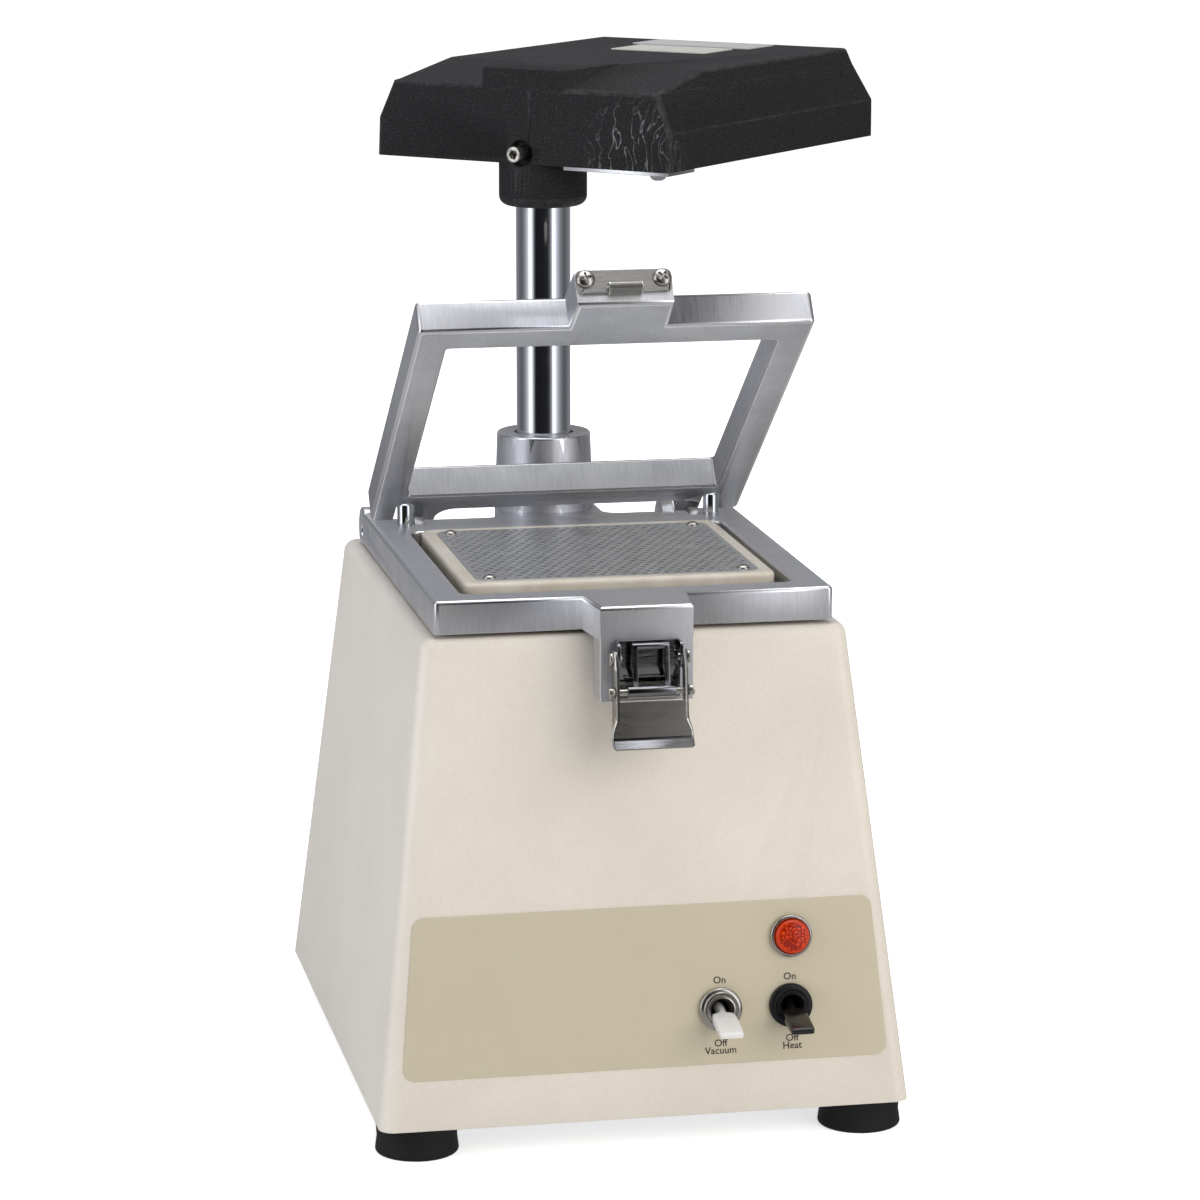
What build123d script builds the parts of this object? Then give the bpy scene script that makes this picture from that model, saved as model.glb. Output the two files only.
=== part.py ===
from build123d import *
import os
from math import atan2, cos, degrees, pi, radians, sin

os.makedirs("parts", exist_ok=True)

# A dental vacuum former, in millimetres. +Z is up, the front faces -Y and +X is to the right.
# The origin is the middle of the frames' clamping opening, brought down to the bench.
# It rests with the clamp frames at the bottom of the column, the upper frame swung open,
# and the heater head turned away behind the column.

# ---------------------------------------------------------------- driving dimensions
slip_gap = 0.3              # between parts that pass or sit beside each other
running_gap = 0.05          # radial, shaft in bush
seat_gap = 0.1              # between flat faces of two moving bodies at rest

# Feet and housing
foot_height = 12.0
foot_radius = 16.0
foot_waist = 15.2
housing_height = 182.0
housing_wall = 5.0
housing_deck = 6.0
housing_corner_radius = 6.0
housing_rim_radius = 4.5
bottom_half_width = 102.0
bottom_front = -103.0
bottom_rear = 150.5
top_half_width = 81.3
top_front = -79.0
top_rear = 128.0
base_plate_thickness = 2.0
foot_inset = 16.2
rear_foot_x = 70.0
rear_foot_y = 118.0

# Column
column_radius = 11.1
column_wall = 2.0
column_y = 110.7
column_length = 358.0

# Clamp frames
frame_half_width = 76.2
frame_front = -76.7
frame_thickness = 12.7
frame_lift = 1.5            # lower frame's underside above the housing deck
opening_half_width = 63.8
opening_corner_radius = 4.0
upper_corner_radius = 1.5
frame_edge_radius = 1.5
opening_edge_radius = 1.0
lug_edge_radius = 0.6
arm_edge_radius = 0.8
lower_opening_front = -64.5
lower_opening_rear = 62.0
upper_opening_front = -66.0
upper_opening_rear = 60.5
rear_bar_end = 86.5
upper_bar_end = 73.0
lug_root_half_width = 20.3
lug_half_width = 17.6
lug_front = -98.0
lug_depth = 12.5
lug_drop = 23.5             # how far the lower lug hangs below the lower frame
upper_bar_front = -80.2     # the upper frame's front face as it lies when closed
upper_thickness = 13.6
upper_lug_root_half_width = 19.1
upper_lug_half_width = 18.4
upper_lug_extra = 0.7
frame_corner_radius = 2.0

# Hinge of the upper frame
hinge_y = 84.0
hinge_depth = 5.0           # pin centre below the clamping plane
hinge_pin_radius = 2.4
knuckle_radius = 7.0
knuckle_inner = 55.0
knuckle_outer = 59.0
leg_inner = 50.0
leg_end = 82.3
leg_corner_radius = 3.0
ear_inner = 44.4
ear_width = 5.0
ear_radius = 9.5
ear_setback = 6.5           # ear's centre behind the hinge pin
arm_thickness = 5.9
arm_eye_y = 109.4           # spare cross hole in each arm's rounded end
arm_eye_depth = 7.7         # below the clamping plane
arm_eye_radius = 9.5
arm_hole_radius = 2.6
rear_ear_end = 91.0         # the flush ears that carry the hinge pins
crotch_fillet = 8.0
open_angle = 36.2

# Carriage hub
hub_base_radius = 20.7
hub_top_radius = 19.2
hub_height = 31.0           # above the lower frame's top
web_fillet = 7.0
bush_wall = 2.0
bush_length = 12.0
bush_recess = 3.0
carriage_travel = 88.0

# Stop pins that locate the sheet
stop_pin_radius = 3.2
stop_pin_height = 9.0
stop_pin_x = 63.2
stop_pin_y = 77.0
stop_pocket_front = 66.6

# Platen
platen_half_width = 60.0
platen_front = -53.0
platen_rear = 59.0
platen_corner_radius = 5.0
platen_edge_radius = 1.6
platen_rise = 1.3           # platen top above the lower frame's top
plate_margin = 5.2
plate_thickness = 1.0
plate_corner_radius = 6.0
plate_screw_inset = 5.5
plate_hole_radius = 1.3
plate_hole_pitch = 8.0
chamber_depth = 7.0
chamber_ledge = 3.0
port_radius = 18.0
gasket_thickness = 1.0

# Draw latch
latch_sheet = 1.2
latch_base_half_width = 12.4
latch_base_height = 22.0
latch_ear_height = 10.0
latch_pivot_drop = 6.0      # pivot below the top of the latch base
latch_pivot_reach = 4.8     # pivot in front of the lug
latch_rivet_radius = 1.5
latch_rivet_end = 15.2
rivet_head_radius = 2.6
lever_lean = 6.0            # how far the hanging lever stands off plumb, degrees
lever_depth = 4.6           # pivot to the outside of the lever's face
lever_face_top = 17.2       # below the pivot
lever_face_bottom = 28.5
lever_lip_bottom = 31.6
lever_lip_reach = 4.0
barrel_drop = 12.2          # below the pivot
barrel_depth = 2.4          # in front of the pivot
barrel_radius = 2.3
barrel_half_length = 9.0
link_pin_radius = 1.3
link_pin_end = 16.0
claw_x = 6.0
claw_thickness = 1.8
claw_depth = 2.4
claw_reach = 16.8           # barrel to the claw's cross bar

# Strike plate on the upper lug
strike_half_width = 18.2
strike_height = 9.4
strike_corner_radius = 2.2
strike_thickness = 1.2
strike_lip_half_width = 6.5
strike_lip_reach = 2.6
strike_slot_height = 1.4
strike_screw_x = 14.6
strike_screw_radius = 3.7

# Heater head
head_heading = 47.9         # degrees from +X in which the head points away from the column
head_bottom_z = 350.8
head_half_width = 69.5
head_back = 17.4            # hub centre to the near face
head_reach = 157.0          # hub centre to the far face
head_band = 15.5
head_edge = 2.0
head_near_height = 30.7
head_height = 37.6
head_near_lean = 2.0
head_ridge = 24.5           # hub centre to the start of the flat top
head_side_lean = 8.7
head_far_lean = 7.8
head_wall = 4.5
channel_half_width = 19.4
channel_end = 28.0
channel_rise = 0.5
head_hub_radius = 18.0
head_hub_drop = 18.1
head_hub_fillet = 4.0
head_floor = 3.0
head_divider = 24.0         # hub centre to the wall that closes off the heater
clamp_screw_radius = 3.2
clamp_screw_rise = 4.2
clamp_screw_proud = 5.6
clamp_recess_radius = 5.6
clamp_recess_depth = 3.5
reflector_near = 28.0       # hub centre to the heater tray
reflector_far = 148.0
reflector_half_width = 57.0
reflector_sheet = 1.0
reflector_bottom = 1.0      # above the head's bottom
reflector_height = 13.0
tile_thickness = 7.0
tile_margin = 1.0
coil_radius = 1.6
coil_pitch = 11.0
coil_margin = 10.0
blanket_thickness = 6.0
blanket_post_radius = 4.0
cover_thickness = 1.5
label_thickness = 0.4

# Controls on the front face
panel_bottom_up = 19.0      # up the sloping front face from the housing's bottom edge
panel_top_up = 80.3
panel_bottom_half_width = 93.3
panel_top_half_width = 87.6
panel_corner_radius = 4.5
panel_thickness = 0.4
lamp_x = 56.4
lamp_up = 66.4
lamp_bezel_radius = 8.1
lamp_lens_radius = 6.5
switch_up = 40.0
vacuum_switch_x = 28.5
heat_switch_x = 55.7
bushing_radius = 5.9
switch_nut_radius = 8.3
switch_nut_height = 3.2
switch_body_width = 17.0
switch_body_height = 27.0
switch_body_depth = 22.0
bushing_proud = 5.6
toggle_tilt = 16.5          # either side of square to the panel
toggle_sink = 3.0           # pivot behind the panel's face
toggle_stem_radius = 2.0
stem_cavity = 4.0
paddle_start = 10.4         # from the pivot
paddle_end = 26.9
paddle_width = 7.4
paddle_thickness = 2.8

# Blower
blower_y = -5.0
blower_gasket = 4.0
shell_radius = 58.0
shell_height = 28.0
shell_wall = 1.5
impeller_radius = 52.0
impeller_height = 20.0
impeller_sheet = 1.2
impeller_clearance = 3.0
blade_count = 8
shaft_radius = 4.0
bracket_thickness = 4.0
bracket_radius = 46.0
bracket_gap = 14.0          # from a bracket's plate to the stator
bearing_radius = 9.0
bearing_height = 7.0
stator_radius = 44.0
stator_bore = 23.0
stator_height = 32.0
armature_radius = 22.3
commutator_radius = 11.0
commutator_height = 10.0
stud_radius = 2.4
hanger_gap = 8.0            # from the fan shell to the hanger studs' circle
hanger_ear_radius = 10.0
tie_circle = 39.5

# ---------------------------------------------------------------- derived places
bottom_z = foot_height
deck_z = bottom_z + housing_height
deck_underside_z = deck_z - housing_deck
frame_bottom_z = deck_z + frame_lift
frame_top_z = frame_bottom_z + frame_thickness
hinge_z = frame_top_z - hinge_depth
platen_top_z = frame_top_z + platen_rise
floor_z = bottom_z + base_plate_thickness
MIN_Z = (Align.CENTER, Align.CENTER, Align.MIN)
MAX_Z = (Align.CENTER, Align.CENTER, Align.MAX)


def save(builder, name):
    """Label a finished piece and write it as its own STEP file."""
    builder.part.label = name
    export_step(builder.part, f"parts/{name}.step")


def wall_share(z):
    """How far up the housing's taper a height lies, from 0 at the bottom to 1 at the deck."""
    return (z - bottom_z) / housing_height


def half_width_at(z):
    return bottom_half_width + (top_half_width - bottom_half_width) * wall_share(z)


def front_at(z):
    return bottom_front + (top_front - bottom_front) * wall_share(z)


def rear_at(z):
    return bottom_rear + (top_rear - bottom_rear) * wall_share(z)


def housing_section(z, inset, corner_radius):
    """The housing's outline at a height, set in by a wall thickness."""
    depth = rear_at(z) - front_at(z)
    with BuildSketch(Plane.XY.offset(z)) as section:
        with Locations((0, (rear_at(z) + front_at(z)) / 2)):
            RectangleRounded(2 * (half_width_at(z) - inset), depth - 2 * inset, corner_radius)
    return section.sketch


def edges_in(part, low, high, plane=Plane.XY):
    """The part's edges that lie wholly inside a box, given by two corners on a plane's axes."""
    picked = []
    for edge in part.edges():
        box = plane.to_local_coords(edge).bounding_box()
        reach = (
            (low[0], box.min.X, box.max.X, high[0]),
            (low[1], box.min.Y, box.max.Y, high[1]),
            (low[2], box.min.Z, box.max.Z, high[2]),
        )
        if all(a - 0.02 <= b and c <= d + 0.02 for a, b, c, d in reach):
            picked.append(edge)
    return picked


def pan_screw(head_radius, head_height, shank_radius, shank_length):
    """A cross-recessed pan-head screw along +Z, its head's underside at the origin."""
    recess = head_radius * 1.1
    with BuildPart() as screw:
        Cylinder(head_radius, head_height, align=MIN_Z)
        fillet(screw.faces().sort_by(Axis.Z)[-1].edges(), head_height * 0.45)
        with Locations((0, 0, head_height)):
            Box(recess, head_radius * 0.3, head_height, mode=Mode.SUBTRACT)
            Box(head_radius * 0.3, recess, head_height, mode=Mode.SUBTRACT)
        Cylinder(shank_radius, shank_length, align=MAX_Z)
    return screw.part


def hex_nut(radius, height, bore):
    """A hexagon nut standing on the origin along +Z."""
    with BuildPart() as nut:
        with BuildSketch():
            RegularPolygon(radius, 6)
            Circle(bore, mode=Mode.SUBTRACT)
        extrude(amount=height)
    return nut.part


# ---------------------------------------------------------------- housing
front_lean = degrees(atan2(top_front - bottom_front, housing_height))
front_plane = Plane(
    origin=(0, bottom_front, bottom_z),
    x_dir=(1, 0, 0),
    z_dir=(0, -cos(radians(front_lean)), sin(radians(front_lean))),
)
foot_x = bottom_half_width - foot_inset
foot_points = [
    (foot_x, bottom_front + foot_inset),
    (-foot_x, bottom_front + foot_inset),
    (rear_foot_x, rear_foot_y),
    (-rear_foot_x, rear_foot_y),
]
foot_screw_radius = 2.0
post_radius = 7.5
post_top_z = bottom_z + 52.0
platen_centre_y = (platen_front + platen_rear) / 2
platen_depth = platen_rear - platen_front
platen_bolt_x = platen_half_width - 9.0
platen_bolt_y = platen_depth / 2 - 9.0
platen_bolt_radius = 2.0
deck_boss_radius = column_radius + 7.0
deck_boss_height = 22.0
gland_z = bottom_z + 26.0
gland_x = -58.0
gland_body_radius = 7.5
gland_bore = 4.6
lamp_body_radius = 5.4

with BuildPart() as housing:
    add(housing_section(bottom_z, 0, housing_corner_radius))
    add(housing_section(deck_z, 0, housing_corner_radius))
    loft(ruled=True)
    fillet(housing.faces().sort_by(Axis.Z)[-1].edges(), housing_rim_radius)
    add(housing_section(bottom_z, housing_wall, 2))
    add(housing_section(deck_underside_z, housing_wall, 2))
    loft(ruled=True, mode=Mode.SUBTRACT)
    # Corner posts that take the foot screws, cast into the walls
    with Locations(*[(x, y, floor_z) for x, y in foot_points]):
        Cylinder(post_radius, post_top_z - floor_z, align=MIN_Z)
        Cylinder(foot_screw_radius, 16, align=MIN_Z, mode=Mode.SUBTRACT)
    # Boss under the deck that carries the column
    with Locations((0, column_y - 3, deck_underside_z)):
        Box(2 * deck_boss_radius, 2 * deck_boss_radius, deck_boss_height, align=MAX_Z)
    with Locations((0, column_y, deck_z)):
        Cylinder(column_radius + running_gap, housing_height, mode=Mode.SUBTRACT)
    # Suction port, platen bolts and blower studs through the deck
    with Locations((0, blower_y, deck_z)):
        Cylinder(port_radius, 2 * housing_deck, mode=Mode.SUBTRACT)
    with Locations((0, platen_centre_y, deck_z)):
        with GridLocations(2 * platen_bolt_x, 2 * platen_bolt_y, 2, 2):
            Cylinder(platen_bolt_radius + slip_gap, 2 * housing_deck + 1, mode=Mode.SUBTRACT)
    # Holes for the lamp and the two switches, square to the sloping front
    with BuildSketch(front_plane):
        with Locations((lamp_x, lamp_up)):
            Circle(lamp_body_radius + slip_gap)
        with Locations((vacuum_switch_x, switch_up), (heat_switch_x, switch_up)):
            Circle(bushing_radius + slip_gap)
    extrude(amount=-2 * housing_wall, mode=Mode.SUBTRACT)
    # Cord gland hole, level, in the rear wall
    with BuildSketch(Plane.XZ.offset(-rear_at(gland_z) + 2 * housing_wall)):
        with Locations((gland_x, gland_z)):
            Circle(gland_body_radius + running_gap)
    extrude(amount=-4 * housing_wall, mode=Mode.SUBTRACT)
save(housing, "housing")

# Sheet-steel base plate inside the rim, with slots for the blower's exhaust
base_inset = housing_wall + slip_gap + 0.3
vent_length = 34.0
vent_width = 3.4
with BuildPart() as base_plate:
    add(housing_section(bottom_z, base_inset, 2))
    extrude(amount=base_plate_thickness)
    with Locations(*[(x, y, bottom_z) for x, y in foot_points]):
        Cylinder(foot_screw_radius + slip_gap, 4 * base_plate_thickness, mode=Mode.SUBTRACT)
    with BuildSketch(Plane.XY.offset(bottom_z)):
        with Locations((0, blower_y)):
            with GridLocations(vent_length + 8, 3 * vent_width, 3, 7):
                SlotOverall(vent_length, vent_width)
    extrude(amount=base_plate_thickness, mode=Mode.SUBTRACT)
save(base_plate, "base_plate")

# Four moulded rubber feet, waisted, each with a sunk screw
foot_bore_depth = 7.0
foot_screw_head = 4.2
with BuildPart() as feet:
    with Locations(*foot_points):
        Cone(foot_radius, foot_waist, foot_height / 2, align=MIN_Z)
    with Locations(*[(x, y, foot_height / 2) for x, y in foot_points]):
        Cone(foot_waist, foot_radius - 0.4, foot_height / 2, align=MIN_Z)
    fillet(feet.faces().group_by(Axis.Z)[0].edges(), 1.2)
    with Locations(*foot_points):
        Cylinder(foot_screw_head + 1, foot_bore_depth, align=MIN_Z, mode=Mode.SUBTRACT)
        Cylinder(foot_screw_radius + slip_gap, foot_height, align=MIN_Z, mode=Mode.SUBTRACT)
save(feet, "feet")

foot_screw = pan_screw(foot_screw_head, 3.0, foot_screw_radius - seat_gap, 16.0)
with BuildPart() as foot_screws:
    for x, y in foot_points:
        with Locations(Location((x, y, foot_bore_depth), (180, 0, 0))):
            add(foot_screw)
save(foot_screws, "foot_screws")

# ---------------------------------------------------------------- column
with BuildPart() as column:
    with BuildSketch(Plane.XY.offset(floor_z)):
        with Locations((0, column_y)):
            Circle(column_radius)
            Circle(column_radius - column_wall, mode=Mode.SUBTRACT)
    extrude(amount=column_length)
    chamfer(column.faces().sort_by(Axis.Z)[-1].edges(), 0.5)
save(column, "column")
column_top_z = floor_z + column_length

# Flanged foot that bolts the column to the base plate
foot_flange_half = 26.0
foot_flange_thickness = 6.0
collar_radius = column_radius + 6.0
collar_height = 24.0
flange_bolt = 19.0
with BuildPart() as column_foot:
    with Locations((0, column_y, floor_z)):
        Box(2 * foot_flange_half, 2 * foot_flange_half, foot_flange_thickness, align=MIN_Z)
        Cylinder(collar_radius, collar_height, align=MIN_Z)
        Cylinder(column_radius + running_gap, collar_height, align=MIN_Z, mode=Mode.SUBTRACT)
        with GridLocations(2 * flange_bolt, 2 * flange_bolt, 2, 2):
            Cylinder(2.5, foot_flange_thickness, align=MIN_Z, mode=Mode.SUBTRACT)
save(column_foot, "column_foot")

flange_screw = pan_screw(4.0, 2.8, 2.3, foot_flange_thickness)
with BuildPart() as column_foot_screws:
    with Locations((0, column_y, floor_z + foot_flange_thickness)):
        with GridLocations(2 * flange_bolt, 2 * flange_bolt, 2, 2):
            add(flange_screw)
save(column_foot_screws, "column_foot_screws")

# Nylon washer on the deck that the carriage comes down on
with BuildPart() as seat_washer:
    with BuildSketch(Plane.XY.offset(deck_z)):
        with Locations((0, column_y)):
            Circle(column_radius + 5)
            Circle(column_radius + slip_gap, mode=Mode.SUBTRACT)
    extrude(amount=frame_lift - seat_gap)
save(seat_washer, "seat_washer")

# Heater lead, which climbs inside the column
lead_radius = 3.0
lead_top_z = head_bottom_z + head_height - head_wall - slip_gap
with BuildPart() as heater_lead:
    with BuildSketch(Plane.XY.offset(floor_z)):
        with Locations((0, column_y)):
            Circle(lead_radius)
    extrude(amount=lead_top_z - floor_z)
save(heater_lead, "heater_lead")

# ---------------------------------------------------------------- platen
gasket_top_z = deck_z + gasket_thickness
plate_half_width = platen_half_width - plate_margin
plate_depth = platen_depth - 2 * plate_margin
plate_screw_x = plate_half_width - plate_screw_inset
plate_screw_y = plate_depth / 2 - plate_screw_inset
plate_seat_z = platen_top_z - plate_thickness
chamber_half_width = plate_half_width - chamber_ledge
chamber_half_depth = plate_depth / 2 - chamber_ledge
corner_pad = 13.0
with BuildPart() as platen:
    with BuildSketch(Plane.XY.offset(gasket_top_z)):
        with Locations((0, platen_centre_y)):
            RectangleRounded(2 * platen_half_width, platen_depth, platen_corner_radius)
    extrude(amount=platen_top_z - gasket_top_z)
    fillet(platen.faces().sort_by(Axis.Z)[-1].edges(), platen_edge_radius)
    # Seat for the perforated plate
    with BuildSketch(Plane.XY.offset(plate_seat_z)):
        with Locations((0, platen_centre_y)):
            RectangleRounded(
                2 * (plate_half_width + seat_gap), plate_depth + 2 * seat_gap, plate_corner_radius
            )
    extrude(amount=plate_thickness, mode=Mode.SUBTRACT)
    # Suction chamber below it, with a pad left at each corner for the screws
    with BuildSketch(Plane.XY.offset(plate_seat_z - chamber_depth)):
        with Locations((0, platen_centre_y)):
            Rectangle(2 * chamber_half_width, 2 * chamber_half_depth)
            with GridLocations(2 * chamber_half_width, 2 * chamber_half_depth, 2, 2):
                Rectangle(2 * corner_pad, 2 * corner_pad, mode=Mode.SUBTRACT)
    extrude(amount=chamber_depth, mode=Mode.SUBTRACT)
    with Locations((0, blower_y, plate_seat_z)):
        Cylinder(port_radius, platen_top_z - deck_z, align=MAX_Z, mode=Mode.SUBTRACT)
    with Locations((0, platen_centre_y, gasket_top_z)):
        with GridLocations(2 * platen_bolt_x, 2 * platen_bolt_y, 2, 2):
            Cylinder(platen_bolt_radius, 6, align=MIN_Z, mode=Mode.SUBTRACT)
    with Locations((0, platen_centre_y, plate_seat_z)):
        with GridLocations(2 * plate_screw_x, 2 * plate_screw_y, 2, 2):
            Cylinder(1.2, 5, align=MAX_Z, mode=Mode.SUBTRACT)
save(platen, "platen")

with BuildPart() as platen_gasket:
    with BuildSketch(Plane.XY.offset(deck_z)):
        with Locations((0, platen_centre_y)):
            RectangleRounded(
                2 * (platen_half_width - 1), platen_depth - 2, platen_corner_radius
            )
            with GridLocations(2 * platen_bolt_x, 2 * platen_bolt_y, 2, 2):
                Circle(platen_bolt_radius + slip_gap, mode=Mode.SUBTRACT)
        with Locations((0, blower_y)):
            Circle(port_radius, mode=Mode.SUBTRACT)
    extrude(amount=gasket_thickness)
save(platen_gasket, "platen_gasket")

platen_bolt = pan_screw(3.6, 2.4, platen_bolt_radius - seat_gap, housing_deck + 6.0)
with BuildPart() as platen_bolts:
    for x in (-platen_bolt_x, platen_bolt_x):
        for y in (platen_centre_y - platen_bolt_y, platen_centre_y + platen_bolt_y):
            with Locations(Location((x, y, deck_underside_z), (180, 0, 0))):
                add(platen_bolt)
save(platen_bolts, "platen_bolts")

# Perforated metal plate: two interleaved grids of holes, clear of the screws
hole_columns = int(2 * chamber_half_width / plate_hole_pitch)
hole_rows = int(2 * (chamber_half_depth - corner_pad) / plate_hole_pitch)
with BuildPart() as perforated_plate:
    with BuildSketch(Plane.XY.offset(plate_seat_z)):
        with Locations((0, platen_centre_y)):
            RectangleRounded(2 * plate_half_width, plate_depth, plate_corner_radius)
            with GridLocations(plate_hole_pitch, plate_hole_pitch, hole_columns, hole_rows):
                Circle(plate_hole_radius, mode=Mode.SUBTRACT)
            with GridLocations(plate_hole_pitch, plate_hole_pitch, hole_columns - 1, hole_rows - 1):
                Circle(plate_hole_radius, mode=Mode.SUBTRACT)
            with GridLocations(2 * plate_screw_x, 2 * plate_screw_y, 2, 2):
                Circle(1.4, mode=Mode.SUBTRACT)
    extrude(amount=plate_thickness)
save(perforated_plate, "perforated_plate")

plate_screw = pan_screw(3.0, 1.0, 1.1, plate_thickness + 5.0)
with BuildPart() as plate_screws:
    with Locations((0, platen_centre_y, platen_top_z)):
        with GridLocations(2 * plate_screw_x, 2 * plate_screw_y, 2, 2):
            add(plate_screw)
save(plate_screws, "plate_screws")

# ---------------------------------------------------------------- carriage: the lower frame
hub_top_z = frame_top_z + hub_height
bush_bore_radius = column_radius + running_gap + bush_wall
stop_pin_hole_depth = 8.0
notch_front = hinge_y - knuckle_radius - 0.5
pin_inner = {-1: leg_inner, 1: ear_inner}


def x_plane(x):
    """A plane square to X whose sketch axes are the row's Y and Z."""
    return Plane(origin=(x, 0, 0), x_dir=(0, 1, 0), z_dir=(1, 0, 0))


with BuildPart() as lower_frame:
    with BuildSketch(Plane.XY.offset(frame_bottom_z)) as ring:
        with Locations((0, (frame_front + rear_bar_end) / 2)):
            Rectangle(2 * frame_half_width, rear_bar_end - frame_front)
        for side in (-1, 1):
            with Locations((side * (frame_half_width - arm_thickness / 2), arm_eye_y - 20)):
                Rectangle(arm_thickness, 40)
            with Locations((side * (leg_inner + frame_half_width) / 2, rear_ear_end - 20)):
                Rectangle(frame_half_width - leg_inner, 40)
        with Locations((0, column_y - 20)):
            Rectangle(2 * hub_base_radius, 40)
        web_corners = [
            v for v in ring.vertices()
            if abs(v.Y - rear_bar_end) < 0.01 and abs(v.X) < hub_base_radius + 0.01
        ]
        fillet(web_corners, web_fillet)
        front_corners = [v for v in ring.vertices() if v.Y < frame_front + 0.01]
        fillet(front_corners, frame_corner_radius)
        with Locations((0, (lower_opening_front + lower_opening_rear) / 2)):
            RectangleRounded(
                2 * opening_half_width,
                lower_opening_rear - lower_opening_front,
                opening_corner_radius,
                mode=Mode.SUBTRACT,
            )
        Polygon(
            (-lug_root_half_width, frame_front + 1),
            (-lug_root_half_width, frame_front),
            (-lug_half_width, lug_front),
            (lug_half_width, lug_front),
            (lug_root_half_width, frame_front),
            (lug_root_half_width, frame_front + 1),
            align=None,
        )
    extrude(amount=frame_thickness)
    # The lug turns down in front of the housing to carry the latch
    with Locations((0, lug_front + lug_depth / 2, frame_bottom_z + 1)):
        Box(2 * lug_half_width, lug_depth, lug_drop + 1, align=MAX_Z)
    # Hub round the column
    with Locations((0, column_y, frame_bottom_z)):
        Cone(hub_base_radius, hub_top_radius, frame_thickness + hub_height, align=MIN_Z)
    # Notches for the upper frame's hinge knuckles
    for side in (-1, 1):
        with Locations((side * (knuckle_inner + knuckle_outer) / 2, notch_front, frame_bottom_z)):
            Box(
                knuckle_outer - knuckle_inner + 2 * slip_gap,
                rear_ear_end - notch_front,
                frame_thickness,
                align=(Align.CENTER, Align.MIN, Align.MIN),
                mode=Mode.SUBTRACT,
            )
    # The raised hinge ear beside the right leg
    with BuildSketch(x_plane(ear_inner)):
        with Locations((hinge_y + ear_setback, hinge_z)):
            Circle(ear_radius)
        with Locations((hinge_y + ear_setback, frame_bottom_z)):
            Rectangle(
                2 * ear_radius, 2 * ear_radius, align=(Align.CENTER, Align.MIN), mode=Mode.INTERSECT
            )
    extrude(amount=ear_width)
    # Rounded ends of the two arms
    for side in (-1, 1):
        with BuildSketch(x_plane(side * (frame_half_width - arm_thickness))):
            with Locations((arm_eye_y, frame_top_z - arm_eye_depth)):
                Circle(arm_eye_radius)
            with Locations((arm_eye_y, frame_bottom_z)):
                Rectangle(
                    2 * arm_eye_radius,
                    2 * arm_eye_radius,
                    align=(Align.CENTER, Align.MIN),
                    mode=Mode.INTERSECT,
                )
        extrude(amount=side * arm_thickness)
    # Cross holes for the hinge pins, and the spare hole near each arm's end
    for side in (-1, 1):
        with BuildSketch(x_plane(side * pin_inner[side])):
            with Locations((hinge_y, hinge_z)):
                Circle(hinge_pin_radius + running_gap)
        extrude(amount=side * (frame_half_width - pin_inner[side] + 1), mode=Mode.SUBTRACT)
        with BuildSketch(x_plane(side * (frame_half_width - arm_thickness - 1))):
            with Locations((arm_eye_y, frame_top_z - arm_eye_depth)):
                Circle(arm_hole_radius)
        extrude(amount=side * (arm_thickness + 2), mode=Mode.SUBTRACT)
    # Bore for the column and seats for its two bushes
    with Locations((0, column_y, frame_bottom_z)):
        Cylinder(
            column_radius + 1.2, frame_thickness + hub_height, align=MIN_Z, mode=Mode.SUBTRACT
        )
        Cylinder(bush_bore_radius, bush_length, align=MIN_Z, mode=Mode.SUBTRACT)
    with Locations((0, column_y, hub_top_z - bush_recess)):
        Cylinder(bush_bore_radius, bush_length, align=MAX_Z, mode=Mode.SUBTRACT)
    with Locations((-stop_pin_x, stop_pin_y, frame_top_z), (stop_pin_x, stop_pin_y, frame_top_z)):
        Cylinder(stop_pin_radius, stop_pin_hole_depth, align=MAX_Z, mode=Mode.SUBTRACT)
    # Screw hole at the back of the hub for the drag plunger
    plunger_z = hub_top_z - 9.0
    plunger_radius = 3.0
    with BuildSketch(Plane.XZ.offset(-column_y)):
        with Locations((0, plunger_z)):
            Circle(plunger_radius + running_gap)
    extrude(amount=-2 * hub_base_radius, mode=Mode.SUBTRACT)
    # Rounded edges: the outside, the opening, the hub's rim and the arms' ends
    corner_x = frame_half_width - frame_corner_radius
    outside = edges_in(
        lower_frame, (-frame_half_width, frame_front, frame_top_z), (-corner_x, arm_eye_y, frame_top_z)
    )
    outside += edges_in(
        lower_frame, (corner_x, frame_front, frame_top_z), (frame_half_width, arm_eye_y, frame_top_z)
    )
    outside += edges_in(
        lower_frame, (-corner_x, lug_front, frame_top_z), (corner_x, frame_front, frame_top_z)
    )
    fillet(outside, frame_edge_radius)
    opening = edges_in(
        lower_frame,
        (-opening_half_width, lower_opening_front, frame_top_z),
        (opening_half_width, lower_opening_rear, frame_top_z),
    )
    fillet(opening, opening_edge_radius)
    hub_rim = edges_in(
        lower_frame,
        (-hub_top_radius, column_y - hub_top_radius, hub_top_z),
        (hub_top_radius, column_y + hub_top_radius, hub_top_z),
    )
    fillet(max(hub_rim, key=lambda edge: edge.length), 1.0)
    for side in (-1, 1):
        arm_outside = edges_in(
            lower_frame,
            (side * frame_half_width, arm_eye_y - arm_eye_radius, frame_bottom_z),
            (side * frame_half_width, arm_eye_y + arm_eye_radius, frame_top_z + arm_eye_radius),
        )
        fillet(max(arm_outside, key=lambda edge: edge.length), arm_edge_radius)
save(lower_frame, "lower_frame")

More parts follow.
